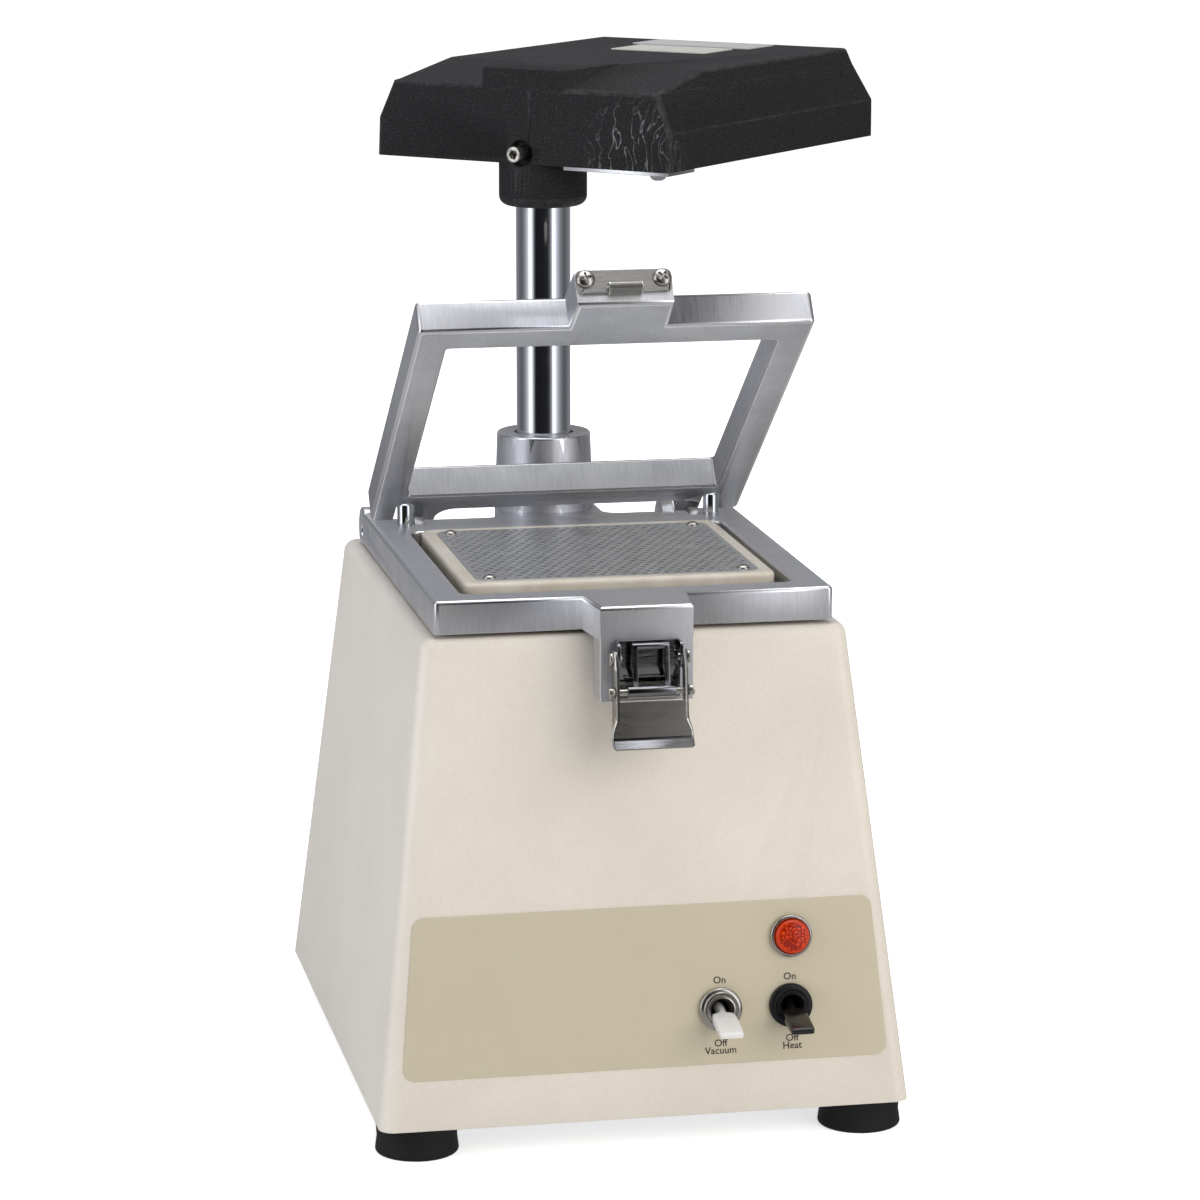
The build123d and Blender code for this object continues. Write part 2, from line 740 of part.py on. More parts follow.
with BuildPart() as hub_bushes:
    for bush_z in (frame_bottom_z, hub_top_z - bush_recess - bush_length):
        with BuildSketch(Plane.XY.offset(bush_z)):
            with Locations((0, column_y)):
                Circle(bush_bore_radius)
                Circle(column_radius + running_gap, mode=Mode.SUBTRACT)
        extrude(amount=bush_length)
    with BuildSketch(Plane.XZ.offset(-column_y)):
        with Locations((0, plunger_z)):
            Circle(plunger_radius + running_gap)
    extrude(amount=-2 * hub_base_radius, mode=Mode.SUBTRACT)
save(hub_bushes, "hub_bushes")

# Threaded plunger whose nylon tip drags on the column
plunger_tip = column_y + column_radius + running_gap
with BuildPart() as drag_plunger:
    with BuildSketch(Plane.XZ.offset(-plunger_tip)):
        with Locations((0, plunger_z)):
            Circle(plunger_radius)
    extrude(amount=-(hub_top_radius - column_radius + 2.5))
    with BuildSketch(Plane.XZ.offset(-(plunger_tip + hub_top_radius - column_radius + 0.8))):
        with Locations((0, plunger_z)):
            RegularPolygon(1.7, 6)
    extrude(amount=-3, mode=Mode.SUBTRACT)
save(drag_plunger, "drag_plunger")

with BuildPart() as stop_pins:
    with Locations((-stop_pin_x, stop_pin_y, frame_top_z), (stop_pin_x, stop_pin_y, frame_top_z)):
        Cylinder(stop_pin_radius, stop_pin_hole_depth, align=MAX_Z)
        Cylinder(stop_pin_radius, stop_pin_height, align=MIN_Z)
    chamfer(stop_pins.faces().group_by(Axis.Z)[-1].edges(), 0.7)
save(stop_pins, "stop_pins")

with BuildPart() as hinge_pins:
    for side in (-1, 1):
        with BuildSketch(x_plane(side * (pin_inner[side] + seat_gap))):
            with Locations((hinge_y, hinge_z)):
                Circle(hinge_pin_radius)
        extrude(amount=side * (frame_half_width - pin_inner[side] - 2 * seat_gap))
save(hinge_pins, "hinge_pins")

# ---------------------------------------------------------------- upper frame, swung open
swing = radians(open_angle)
out_dir = (0, cos(swing), -sin(swing))
up_dir = (0, sin(swing), cos(swing))
open_plane = Plane(origin=(0, hinge_y, hinge_z), x_dir=(1, 0, 0), z_dir=up_dir)


def upper_plane(height):
    """A plane parallel to the open clamping face, a height above that face."""
    return open_plane.offset(hinge_depth + height)


def upper_side(x):
    """A plane square to X, turned with the open frame, with the hinge at its origin."""
    return Plane(origin=(x, hinge_y, hinge_z), x_dir=out_dir, z_dir=(1, 0, 0))


def from_hinge(y):
    """A closed-position Y as a sketch coordinate on the open planes."""
    return y - hinge_y


with BuildPart() as upper_frame:
    with BuildSketch(upper_plane(0)) as outline:
        with Locations((0, from_hinge((upper_bar_front + upper_bar_end) / 2))):
            Rectangle(2 * frame_half_width, upper_bar_end - upper_bar_front)
        front_corners = [
            v for v in outline.vertices() if v.Y < from_hinge(upper_bar_front) + 0.01
        ]
        fillet(front_corners, frame_corner_radius)
        for side in (-1, 1):
            with Locations(
                (side * (leg_inner + frame_half_width) / 2, from_hinge((upper_bar_end + leg_end) / 2))
            ):
                Rectangle(frame_half_width - leg_inner, leg_end - upper_bar_end)
        leg_corners = [
            v for v in outline.vertices()
            if abs(v.X) > frame_half_width - 0.01 and abs(v.Y - from_hinge(leg_end)) < 0.01
        ]
        fillet(leg_corners, leg_corner_radius)
        # The raised ear leaves no room for this fillet on the right
        crotch = [
            v for v in outline.vertices()
            if abs(v.X + leg_inner) < 0.01 and abs(v.Y - from_hinge(upper_bar_end)) < 0.01
        ]
        fillet(crotch, crotch_fillet)
        with Locations((0, from_hinge((upper_opening_front + upper_opening_rear) / 2))):
            RectangleRounded(
                2 * opening_half_width,
                upper_opening_rear - upper_opening_front,
                upper_corner_radius,
                mode=Mode.SUBTRACT,
            )
    extrude(amount=upper_thickness)
    with BuildSketch(upper_plane(0)):
        Polygon(
            (-upper_lug_root_half_width, from_hinge(upper_bar_front + 1)),
            (-upper_lug_root_half_width, from_hinge(upper_bar_front)),
            (-upper_lug_half_width, from_hinge(lug_front)),
            (upper_lug_half_width, from_hinge(lug_front)),
            (upper_lug_root_half_width, from_hinge(upper_bar_front)),
            (upper_lug_root_half_width, from_hinge(upper_bar_front + 1)),
            align=None,
        )
    extrude(amount=upper_thickness + upper_lug_extra)
    # Knuckles: the legs' ends, rounded about the hinge pin
    for side in (-1, 1):
        with BuildSketch(upper_side(side * knuckle_inner)):
            Circle(knuckle_radius)
            Polygon(
                (from_hinge(leg_end) - 8, hinge_depth),
                (from_hinge(leg_end) - 8, hinge_depth + upper_thickness),
                (from_hinge(leg_end) - 3, hinge_depth + upper_thickness),
                (knuckle_radius, 0),
                (0, 0),
                (0, hinge_depth),
                align=None,
            )
        extrude(amount=side * (knuckle_outer - knuckle_inner))
        with BuildSketch(upper_side(side * (knuckle_inner - 1))):
            Circle(hinge_pin_radius + running_gap)
        extrude(amount=side * (knuckle_outer - knuckle_inner + 2), mode=Mode.SUBTRACT)
    # Blind pockets, open at the rear, that swing down over the stop pins
    pocket_radius = stop_pin_radius + 0.6
    pocket_length = leg_end - stop_pocket_front - pocket_radius + 1
    with BuildSketch(upper_plane(0)):
        for side in (-1, 1):
            with Locations((side * stop_pin_x, from_hinge(stop_pocket_front + pocket_radius))):
                Circle(pocket_radius)
                Rectangle(2 * pocket_radius, pocket_length, align=(Align.CENTER, Align.MIN))
    extrude(amount=stop_pin_height + 0.8, mode=Mode.SUBTRACT)
    # Rounded edges: both faces outside and in the opening, and the lug's far face
    far_depth = hinge_depth + upper_thickness
    leg_corner_y = from_hinge(leg_end - leg_corner_radius)
    front_y = from_hinge(upper_bar_front)
    clamp_front = from_hinge(lug_front)
    for depth, front_limit in ((hinge_depth, clamp_front), (far_depth, front_y)):
        outside = edges_in(
            upper_frame,
            (-frame_half_width, front_y, depth),
            (-corner_x, leg_corner_y, depth),
            open_plane,
        )
        outside += edges_in(
            upper_frame,
            (corner_x, front_y, depth),
            (frame_half_width, leg_corner_y, depth),
            open_plane,
        )
        outside += edges_in(
            upper_frame, (-corner_x, front_limit, depth), (corner_x, front_y, depth), open_plane
        )
        fillet(outside, frame_edge_radius)
    opening = []
    for depth in (hinge_depth, far_depth):
        opening += edges_in(
            upper_frame,
            (-opening_half_width, from_hinge(upper_opening_front), depth),
            (opening_half_width, from_hinge(upper_opening_rear), depth),
            open_plane,
        )
    fillet(opening, opening_edge_radius)
    lug_edges = edges_in(
        upper_frame,
        (-upper_lug_root_half_width, clamp_front, far_depth + upper_lug_extra),
        (upper_lug_root_half_width, from_hinge(upper_bar_front + 1), far_depth + upper_lug_extra),
        open_plane,
    )
    fillet(lug_edges, lug_edge_radius)
save(upper_frame, "upper_frame")

# ---------------------------------------------------------------- strike plate on the upper lug
strike_bottom = hinge_depth + upper_thickness + upper_lug_extra - strike_height


def upper_front(distance):
    """A plane parallel to the open lug's front face, a distance in front of it."""
    y = from_hinge(lug_front) - distance
    return Plane(
        origin=(0, hinge_y + y * out_dir[1], hinge_z + y * out_dir[2]),
        x_dir=(1, 0, 0),
        z_dir=(0, -out_dir[1], -out_dir[2]),
    )


with BuildPart() as strike_plate:
    with BuildSketch(upper_front(0)):
        with Locations((0, strike_bottom + strike_height / 2)):
            RectangleRounded(2 * strike_half_width, strike_height, strike_corner_radius)
        with Locations((0, strike_bottom + strike_height / 3)):
            Rectangle(2 * strike_lip_half_width, strike_slot_height, mode=Mode.SUBTRACT)
        with Locations((-strike_screw_x, strike_bottom + 0.6 * strike_height)):
            Circle(1.6, mode=Mode.SUBTRACT)
        with Locations((strike_screw_x, strike_bottom + 0.6 * strike_height)):
            Circle(1.6, mode=Mode.SUBTRACT)
    extrude(amount=strike_thickness)
    with BuildSketch(upper_front(strike_thickness)):
        with Locations((0, strike_bottom)):
            Rectangle(
                2 * strike_lip_half_width, strike_thickness, align=(Align.CENTER, Align.MIN)
            )
    extrude(amount=strike_lip_reach)
    with BuildSketch(upper_front(strike_thickness + strike_lip_reach)):
        with Locations((0, strike_bottom)):
            Rectangle(
                2 * strike_lip_half_width, 2 * strike_thickness, align=(Align.CENTER, Align.MIN)
            )
    extrude(amount=-strike_thickness / 2)
save(strike_plate, "strike_plate")

strike_screw = pan_screw(strike_screw_radius, 1.9, 1.5, strike_thickness)
with BuildPart(upper_front(strike_thickness)) as strike_screws:
    with Locations(
        (-strike_screw_x, strike_bottom + 0.6 * strike_height),
        (strike_screw_x, strike_bottom + 0.6 * strike_height),
    ):
        add(strike_screw)
save(strike_screws, "strike_screws")

# ---------------------------------------------------------------- draw latch on the lower lug
latch_top_z = frame_bottom_z
latch_bottom_z = latch_top_z - latch_base_height
pivot_y = lug_front - latch_pivot_reach
pivot_z = latch_top_z - latch_pivot_drop
ear_inside = latch_base_half_width - latch_sheet
flange_inside = latch_base_half_width + slip_gap
flange_outside = flange_inside + latch_sheet
lean = radians(lever_lean)


def lever_side(x):
    """A plane square to X whose axes are outward from the lever's pivot and up along the lever."""
    return Plane(
        origin=(x, pivot_y, pivot_z), x_dir=(0, -cos(lean), sin(lean)), z_dir=(-1, 0, 0)
    )


with BuildPart() as latch_base:
    with Locations((0, lug_front, latch_bottom_z)):
        Box(
            2 * latch_base_half_width,
            latch_sheet,
            latch_base_height,
            align=(Align.CENTER, Align.MAX, Align.MIN),
        )
    for side in (-1, 1):
        with Locations((side * (ear_inside + latch_sheet / 2), lug_front, latch_top_z)):
            Box(
                latch_sheet,
                latch_pivot_reach + 2.6,
                latch_ear_height,
                align=(Align.CENTER, Align.MAX, Align.MAX),
            )
        with BuildSketch(x_plane(side * (ear_inside - 0.5))):
            with Locations((pivot_y, pivot_z)):
                Circle(latch_rivet_radius)
        extrude(amount=side * (latch_sheet + 1), mode=Mode.SUBTRACT)
    fillet(latch_base.edges().filter_by(Axis.X).group_by(Axis.Y)[0], 2.2)
save(latch_base, "latch_base")

with BuildPart() as latch_rivets:
    for side in (-1, 1):
        with BuildSketch(x_plane(side * (ear_inside - 0.6))):
            with Locations((pivot_y, pivot_z)):
                Circle(latch_rivet_radius)
        extrude(amount=side * (latch_rivet_end - ear_inside + 0.6))
        with BuildSketch(x_plane(side * (flange_outside + seat_gap))):
            with Locations((pivot_y, pivot_z)):
                Circle(rivet_head_radius)
        extrude(amount=side * (latch_rivet_end - flange_outside - seat_gap))
    fillet(latch_rivets.faces().group_by(Axis.X)[-1].edges(), 0.5)
    fillet(latch_rivets.faces().group_by(Axis.X)[0].edges(), 0.5)
save(latch_rivets, "latch_rivets")

with BuildPart() as latch_lever:
    for x in (flange_outside, -flange_inside):
        with BuildSketch(lever_side(x)):
            Polygon(
                (-3.0, 0),
                (-2.0, 3.0),
                (2.0, 3.2),
                (lever_depth - 0.4, 0.4),
                (lever_depth, -lever_face_top),
                (lever_depth, -lever_face_bottom),
                (0.6, -lever_face_bottom),
                (-2.6, -8.0),
                align=None,
            )
            Circle(latch_rivet_radius + running_gap, mode=Mode.SUBTRACT)
            with Locations((barrel_depth, -barrel_drop)):
                Circle(link_pin_radius, mode=Mode.SUBTRACT)
        extrude(amount=latch_sheet)
    with BuildSketch(lever_side(flange_outside)):
        Polygon(
            (lever_depth - latch_sheet, -lever_face_top),
            (lever_depth, -lever_face_top),
            (lever_depth, -lever_face_bottom),
            (lever_depth + 1.2, -lever_lip_bottom + 1.4),
            (lever_depth + lever_lip_reach, -lever_lip_bottom + 0.8),
            (lever_depth + lever_lip_reach, -lever_lip_bottom),
            (lever_depth + 0.6, -lever_lip_bottom),
            (lever_depth - latch_sheet, -lever_face_bottom),
            align=None,
        )
    extrude(amount=2 * flange_outside)
save(latch_lever, "latch_lever")

with BuildPart() as link_pin:
    with BuildSketch(lever_side(link_pin_end)):
        with Locations((barrel_depth, -barrel_drop)):
            Circle(link_pin_radius)
    extrude(amount=2 * link_pin_end)
    for x in (link_pin_end, -flange_outside - seat_gap):
        with BuildSketch(lever_side(x)):
            with Locations((barrel_depth, -barrel_drop)):
                Circle(link_pin_radius + 0.7)
        extrude(amount=link_pin_end - flange_outside - seat_gap)
save(link_pin, "link_pin")

with BuildPart() as latch_link:
    with BuildSketch(lever_side(barrel_half_length)):
        with Locations((barrel_depth, -barrel_drop)):
            Circle(barrel_radius)
    extrude(amount=2 * barrel_half_length)
    for x in (claw_x + claw_thickness / 2, -claw_x + claw_thickness / 2):
        with BuildSketch(lever_side(x)):
            with Locations((barrel_depth, -barrel_drop)):
                Rectangle(claw_depth, claw_reach, align=(Align.CENTER, Align.MIN))
        extrude(amount=claw_thickness)
    with BuildSketch(lever_side(claw_x + claw_thickness / 2)):
        with Locations((barrel_depth, claw_reach - barrel_drop)):
            Circle(claw_depth / 2)
    extrude(amount=2 * claw_x + claw_thickness)
    with BuildSketch(lever_side(barrel_half_length + 1)):
        with Locations((barrel_depth, -barrel_drop)):
            Circle(link_pin_radius + running_gap)
    extrude(amount=2 * barrel_half_length + 2, mode=Mode.SUBTRACT)
save(latch_link, "latch_link")

# ---------------------------------------------------------------- heater head
heading = radians(head_heading)
along = (cos(heading), sin(heading), 0)
across = (sin(heading), -cos(heading), 0)
head_origin = (0, column_y, head_bottom_z)
head_plane = Plane(origin=head_origin, x_dir=along, z_dir=(0, 0, 1))
head_side = Plane(origin=head_origin, x_dir=along, z_dir=across)
head_end = Plane(origin=head_origin, x_dir=across, z_dir=(-along[0], -along[1], 0))
side_lean_low = head_side_lean * 0.77


def head_wedge(inset):
    """The head's sloping-sided block, its walls and roof set in by an amount."""
    roof = head_height - inset
    shoulder = head_near_height - inset
    with BuildPart() as wedge:
        with BuildSketch(head_side):
            Polygon(
                (-head_back + inset, 0),
                (-head_back + inset + head_near_lean, shoulder),
                (head_ridge, roof),
                (head_reach - inset - head_far_lean, roof),
                (head_reach - inset, head_band),
                (head_reach - inset, 0),
                align=None,
            )
        extrude(amount=head_half_width, both=True)
        wide = head_half_width - inset
        with BuildSketch(head_end):
            Polygon(
                (-wide, 0),
                (-wide, head_band),
                (-wide + side_lean_low, shoulder),
                (-wide + head_side_lean, roof),
                (wide - head_side_lean, roof),
                (wide - side_lean_low, shoulder),
                (wide, head_band),
                (wide, 0),
                align=None,
            )
        extrude(amount=2 * head_reach, both=True, mode=Mode.INTERSECT)
    return wedge.part


roof_inside = head_height - head_wall
socket_top = column_top_z - head_bottom_z + 0.6
cover_outline = [(-17.0, 20.0), (-17.0, 68.6), (4.5, 68.6), (14.0, 52.0), (14.0, 20.0)]
clamp_screw_tip = column_radius + running_gap
clamp_screw_end = head_back + clamp_screw_proud
cover_opening = [(-12.0, 25.0), (-12.0, 54.0), (9.0, 54.0), (9.0, 25.0)]
cover_screw_at = (-11.5, 61.0)
cover_screw_radius = 1.3
cover_post_height = 12.0
clamp_socket_radius = 1.9
clamp_socket_depth = 3.2
terminal_radius = 2.2
post_points = [
    (a, b)
    for a in (reflector_near + 14, reflector_far - 14)
    for b in (-reflector_half_width + 14, reflector_half_width - 14)
]
blanket_top = reflector_bottom + reflector_height + blanket_thickness

with BuildPart() as heater_head:
    add(head_wedge(0))
    rim_z = head_bottom_z + head_edge
    fillet([e for e in heater_head.edges() if e.bounding_box().max.Z > rim_z], head_edge)
    # Raised channel along the near slope, in line with the column
    with BuildSketch(head_plane.offset(head_near_height / 2)):
        with Locations(((channel_end - head_back + head_near_lean) / 2, 0)):
            Rectangle(channel_end + head_back - head_near_lean, 2 * channel_half_width)
    extrude(amount=head_height + channel_rise - head_near_height / 2)
    add(head_wedge(head_wall), mode=Mode.SUBTRACT)
    # Floor behind the column and the wall that closes off the heater
    with BuildSketch(head_plane):
        with Locations(((head_divider - head_back) / 2, 0)):
            Rectangle(head_divider + head_back - head_wall, 2 * head_half_width - head_wall)
    extrude(amount=head_floor)
    with BuildSketch(head_plane):
        with Locations((head_divider - head_wall / 2, 0)):
            Rectangle(head_wall, 2 * (head_half_width - head_side_lean) - head_wall)
    extrude(amount=head_near_height)
    # Hub that turns on the column
    with BuildSketch(head_plane.offset(-head_hub_drop)):
        Circle(head_hub_radius)
    extrude(amount=head_hub_drop + head_near_height)
    fillet(heater_head.faces().sort_by(Axis.Z)[0].edges(), head_hub_fillet)
    with BuildSketch(head_plane.offset(-head_hub_drop)):
        Circle(column_radius + running_gap)
    extrude(amount=head_hub_drop + socket_top, mode=Mode.SUBTRACT)
    # The lead's way out at the top of the socket
    with BuildSketch(head_plane.offset(socket_top)):
        Circle(lead_radius + 2)
        with Locations((head_divider / 2, 0)):
            Rectangle(head_divider + head_wall, 2 * lead_radius)
    extrude(amount=roof_inside - socket_top, mode=Mode.SUBTRACT)
    # Wiring opening and the post for its cover's screw
    with BuildSketch(head_plane):
        Polygon(*[(a, -b) for a, b in cover_opening], align=None)
    extrude(amount=head_floor, mode=Mode.SUBTRACT)
    with BuildSketch(head_plane):
        with Locations((cover_screw_at[0], -cover_screw_at[1])):
            Circle(blanket_post_radius)
    extrude(amount=cover_post_height)
    with BuildSketch(head_plane):
        with Locations((cover_screw_at[0], -cover_screw_at[1])):
            Circle(cover_screw_radius)
    extrude(amount=cover_post_height - 2, mode=Mode.SUBTRACT)
    # Clamp screw's hole and the sunk face round it
    with BuildSketch(head_end.offset(column_radius - 1)):
        with Locations((0, clamp_screw_rise)):
            Circle(clamp_screw_radius)
    extrude(amount=head_back, mode=Mode.SUBTRACT)
    with BuildSketch(head_end.offset(head_back - clamp_recess_depth)):
        with Locations((0, clamp_screw_rise)):
            Circle(clamp_recess_radius)
    extrude(amount=head_back, mode=Mode.SUBTRACT)
    # Posts that hold the insulation down on the reflector
    with BuildSketch(head_plane.offset(blanket_top)):
        with Locations(*post_points):
            Circle(blanket_post_radius)
    extrude(amount=roof_inside - blanket_top + 1)
save(heater_head, "heater_head")

with BuildPart() as clamp_screw:
    with BuildSketch(head_end.offset(clamp_screw_tip)):
        with Locations((0, clamp_screw_rise)):
            Circle(clamp_screw_radius)
    extrude(amount=clamp_screw_end - clamp_screw_tip)
    with BuildSketch(head_end.offset(clamp_screw_end - clamp_socket_depth)):
        with Locations((0, clamp_screw_rise)):
            RegularPolygon(clamp_socket_radius, 6)
    extrude(amount=clamp_socket_depth, mode=Mode.SUBTRACT)
save(clamp_screw, "clamp_screw")

# Sheet cover under the wiring opening, with its screw
with BuildPart() as head_cover:
    with BuildSketch(head_plane.offset(-cover_thickness)):
        Polygon(*[(a, -b) for a, b in cover_outline], align=None)
        Circle(head_hub_radius + slip_gap, mode=Mode.SUBTRACT)
        with Locations((cover_screw_at[0], -cover_screw_at[1])):
            Circle(cover_screw_radius, mode=Mode.SUBTRACT)
    extrude(amount=cover_thickness)
save(head_cover, "head_cover")

cover_pan_screw = pan_screw(3.4, 2.4, cover_screw_radius, cover_thickness + 5.0)
cover_screw_place = head_plane * Location((cover_screw_at[0], -cover_screw_at[1], -cover_thickness))
with BuildPart() as cover_screw:
    with Locations(cover_screw_place * Location((0, 0, 0), (180, 0, 0))):
        add(cover_pan_screw)
save(cover_screw, "cover_screw")

# Heater: a bright tray, a grooved ceramic tile and one long coil
tray_top = reflector_bottom + reflector_height
tile_top = tray_top - reflector_sheet
tile_bottom = tile_top - tile_thickness
tray_middle = (reflector_near + reflector_far) / 2
tray_length = reflector_far - reflector_near
coil_half_length = reflector_half_width - 2 * coil_margin
coil_runs = 2 * int((tray_length - 2 * coil_margin) / coil_pitch / 2)
coil_first = tray_middle - (coil_runs - 1) * coil_pitch / 2
coil_last = coil_first + (coil_runs - 1) * coil_pitch
terminal_side = coil_half_length + terminal_radius + running_gap
terminal_points = [(coil_first, -terminal_side), (coil_last, -terminal_side)]
with BuildPart() as reflector:
    with BuildSketch(head_plane.offset(reflector_bottom)):
        with Locations((tray_middle, 0)):
            Rectangle(tray_length, 2 * reflector_half_width)
    extrude(amount=reflector_height)
    with BuildSketch(head_plane.offset(reflector_bottom)):
        with Locations((tray_middle, 0)):
            Rectangle(
                tray_length - 2 * reflector_sheet, 2 * (reflector_half_width - reflector_sheet)
            )
    extrude(amount=reflector_height - reflector_sheet, mode=Mode.SUBTRACT)
    with BuildSketch(head_plane.offset(tile_top)):
        with Locations(*terminal_points):
            Circle(terminal_radius + slip_gap)
    extrude(amount=2 * reflector_sheet, mode=Mode.SUBTRACT)
save(reflector, "reflector")


def coil_rod(radius):
    """A round rod laid back and forth under the tile, open at both ends."""
    with BuildPart() as rod:
        with BuildLine(head_plane.offset(tile_bottom)) as path:
            for run in range(coil_runs):
                a = coil_first + run * coil_pitch
                end = coil_half_length if run % 2 == 0 else -coil_half_length
                Line((a, -end), (a, end))
                if run < coil_runs - 1:
                    bend = coil_pitch / 2 if end > 0 else -coil_pitch / 2
                    ThreePointArc((a, end), (a + coil_pitch / 2, end + bend), (a + coil_pitch, end))
        with BuildSketch(Plane(origin=path.line @ 0, z_dir=path.line % 0)):
            Circle(radius)
        sweep(path=path.line)
    return rod.part


with BuildPart() as heater_coil:
    add(coil_rod(coil_radius))
save(heater_coil, "heater_coil")

with BuildPart() as heater_tile:
    with BuildSketch(head_plane.offset(tile_bottom)):
        with Locations((tray_middle, 0)):
            Rectangle(
                tray_length - 2 * reflector_sheet - 2 * slip_gap,
                2 * (reflector_half_width - reflector_sheet - slip_gap),
            )
        with Locations(*terminal_points):
            Circle(terminal_radius + running_gap, mode=Mode.SUBTRACT)
    extrude(amount=tile_thickness)
    add(coil_rod(coil_radius + running_gap), mode=Mode.SUBTRACT)
save(heater_tile, "heater_tile")

with BuildPart() as insulation:
    with BuildSketch(head_plane.offset(tray_top)):
        with Locations((tray_middle, 0)):
            Rectangle(tray_length - 4, 2 * reflector_half_width - 4)
        with Locations(*terminal_points):
            Circle(terminal_radius + slip_gap, mode=Mode.SUBTRACT)
    extrude(amount=blanket_thickness)
save(insulation, "insulation")

with BuildPart() as heater_terminals:
    with BuildSketch(head_plane.offset(tile_bottom - 2)):
        with Locations(*terminal_points):
            Circle(terminal_radius)
    extrude(amount=blanket_top - tile_bottom + 6)
    for a, b in terminal_points:
        with Locations(head_plane * Location((a, b, blanket_top))):
            add(hex_nut(4.0, 2.4, terminal_radius - 0.1))
save(heater_terminals, "heater_terminals")

# Blank name strip and plate on the roof
with BuildPart() as head_labels:
    with BuildSketch(head_plane.offset(head_height)):
        with Locations((103, -1)):
            Rectangle(26, 46)
        with Locations((131.5, 0)):
            Rectangle(23, 58)
    extrude(amount=label_thickness)
save(head_labels, "head_labels")

# ---------------------------------------------------------------- controls
lamp_lens_rise = 5.4
lamp_bezel_rise = 2.2
lamp_depth = 24.0
switch_points = {"vacuum": vacuum_switch_x, "heat": heat_switch_x}
with BuildPart() as control_overlay:
    with BuildSketch(front_plane) as overlay:
        Polygon(
            (-panel_bottom_half_width, panel_bottom_up),
            (panel_bottom_half_width, panel_bottom_up),
            (panel_top_half_width, panel_top_up),
            (-panel_top_half_width, panel_top_up),
            align=None,
        )
        fillet(overlay.vertices(), panel_corner_radius)
        with Locations((lamp_x, lamp_up)):
            Circle(lamp_body_radius + slip_gap, mode=Mode.SUBTRACT)
        with Locations((vacuum_switch_x, switch_up), (heat_switch_x, switch_up)):
            Circle(bushing_radius + slip_gap, mode=Mode.SUBTRACT)
    extrude(amount=panel_thickness)
save(control_overlay, "control_overlay")

with BuildPart() as pilot_bezel:
    with BuildSketch(front_plane.offset(panel_thickness)):
        with Locations((lamp_x, lamp_up)):
            Circle(lamp_bezel_radius)
            Circle(lamp_lens_radius, mode=Mode.SUBTRACT)
    extrude(amount=lamp_bezel_rise)
    fillet(pilot_bezel.faces().sort_by(Axis(front_plane.origin, front_plane.z_dir))[-1].edges(), 0.6)
save(pilot_bezel, "pilot_bezel")

with BuildPart() as pilot_lens:
    with BuildSketch(front_plane.offset(panel_thickness)):
        with Locations((lamp_x, lamp_up)):
            Circle(lamp_lens_radius - running_gap)
    extrude(amount=lamp_lens_rise)
    fillet(pilot_lens.faces().sort_by(Axis(front_plane.origin, front_plane.z_dir))[-1].edges(), 2.4)
save(pilot_lens, "pilot_lens")

with BuildPart() as pilot_body:
    with BuildSketch(front_plane.offset(panel_thickness)):
        with Locations((lamp_x, lamp_up)):
            Circle(lamp_body_radius)
    extrude(amount=-lamp_depth)
save(pilot_body, "pilot_body")

bushing_top = panel_thickness + bushing_proud
with BuildPart() as switch_bodies:
    for x in switch_points.values():
        with BuildSketch(front_plane.offset(-housing_wall)):
            with Locations((x, switch_up)):
                Rectangle(switch_body_width, switch_body_height)
        extrude(amount=-switch_body_depth)
        with BuildSketch(front_plane.offset(-housing_wall)):
            with Locations((x, switch_up)):
                Circle(bushing_radius)
        extrude(amount=housing_wall + bushing_top)
        # Bore that flares outward so that the paddle's stem can tilt
        with BuildSketch(front_plane.offset(-toggle_sink - stem_cavity)):
            with Locations((x, switch_up)):
                Circle(toggle_stem_radius + 1.2)
        with BuildSketch(front_plane.offset(bushing_top)):
            with Locations((x, switch_up)):
                Circle(bushing_radius - 0.5)
        loft(mode=Mode.SUBTRACT)
save(switch_bodies, "switch_bodies")

for switch_name, x in switch_points.items():
    with BuildPart() as switch_nut:
        with BuildSketch(front_plane.offset(panel_thickness)):
            with Locations((x, switch_up)):
                Circle(switch_nut_radius)
                Circle(bushing_radius + running_gap, mode=Mode.SUBTRACT)
        extrude(amount=switch_nut_height)
        top_edges = switch_nut.faces().sort_by(Axis(front_plane.origin, front_plane.z_dir))[-1]
        chamfer(top_edges.edges(), 0.5)
    save(switch_nut, f"{switch_name}_switch_nut")

    # Paddle, at rest in its lower position
    toggle_fall = radians(toggle_tilt - front_lean)
    toggle_plane = Plane(
        origin=front_plane.from_local_coords((x, switch_up, -toggle_sink)),
        x_dir=(1, 0, 0),
        z_dir=(0, -cos(toggle_fall), -sin(toggle_fall)),
    )
    with BuildPart(toggle_plane) as toggle:
        Sphere(toggle_stem_radius + 0.3)
        Cylinder(toggle_stem_radius, paddle_start + 1, align=MIN_Z)
        with Locations((0, 0, paddle_start)):
            Box(paddle_width, paddle_thickness, paddle_end - paddle_start, align=MIN_Z)
        tip = toggle.faces().sort_by(Axis(toggle_plane.origin, toggle_plane.z_dir))[-1]
        fillet(tip.edges(), 1.1)
    save(toggle, f"{switch_name}_toggle")

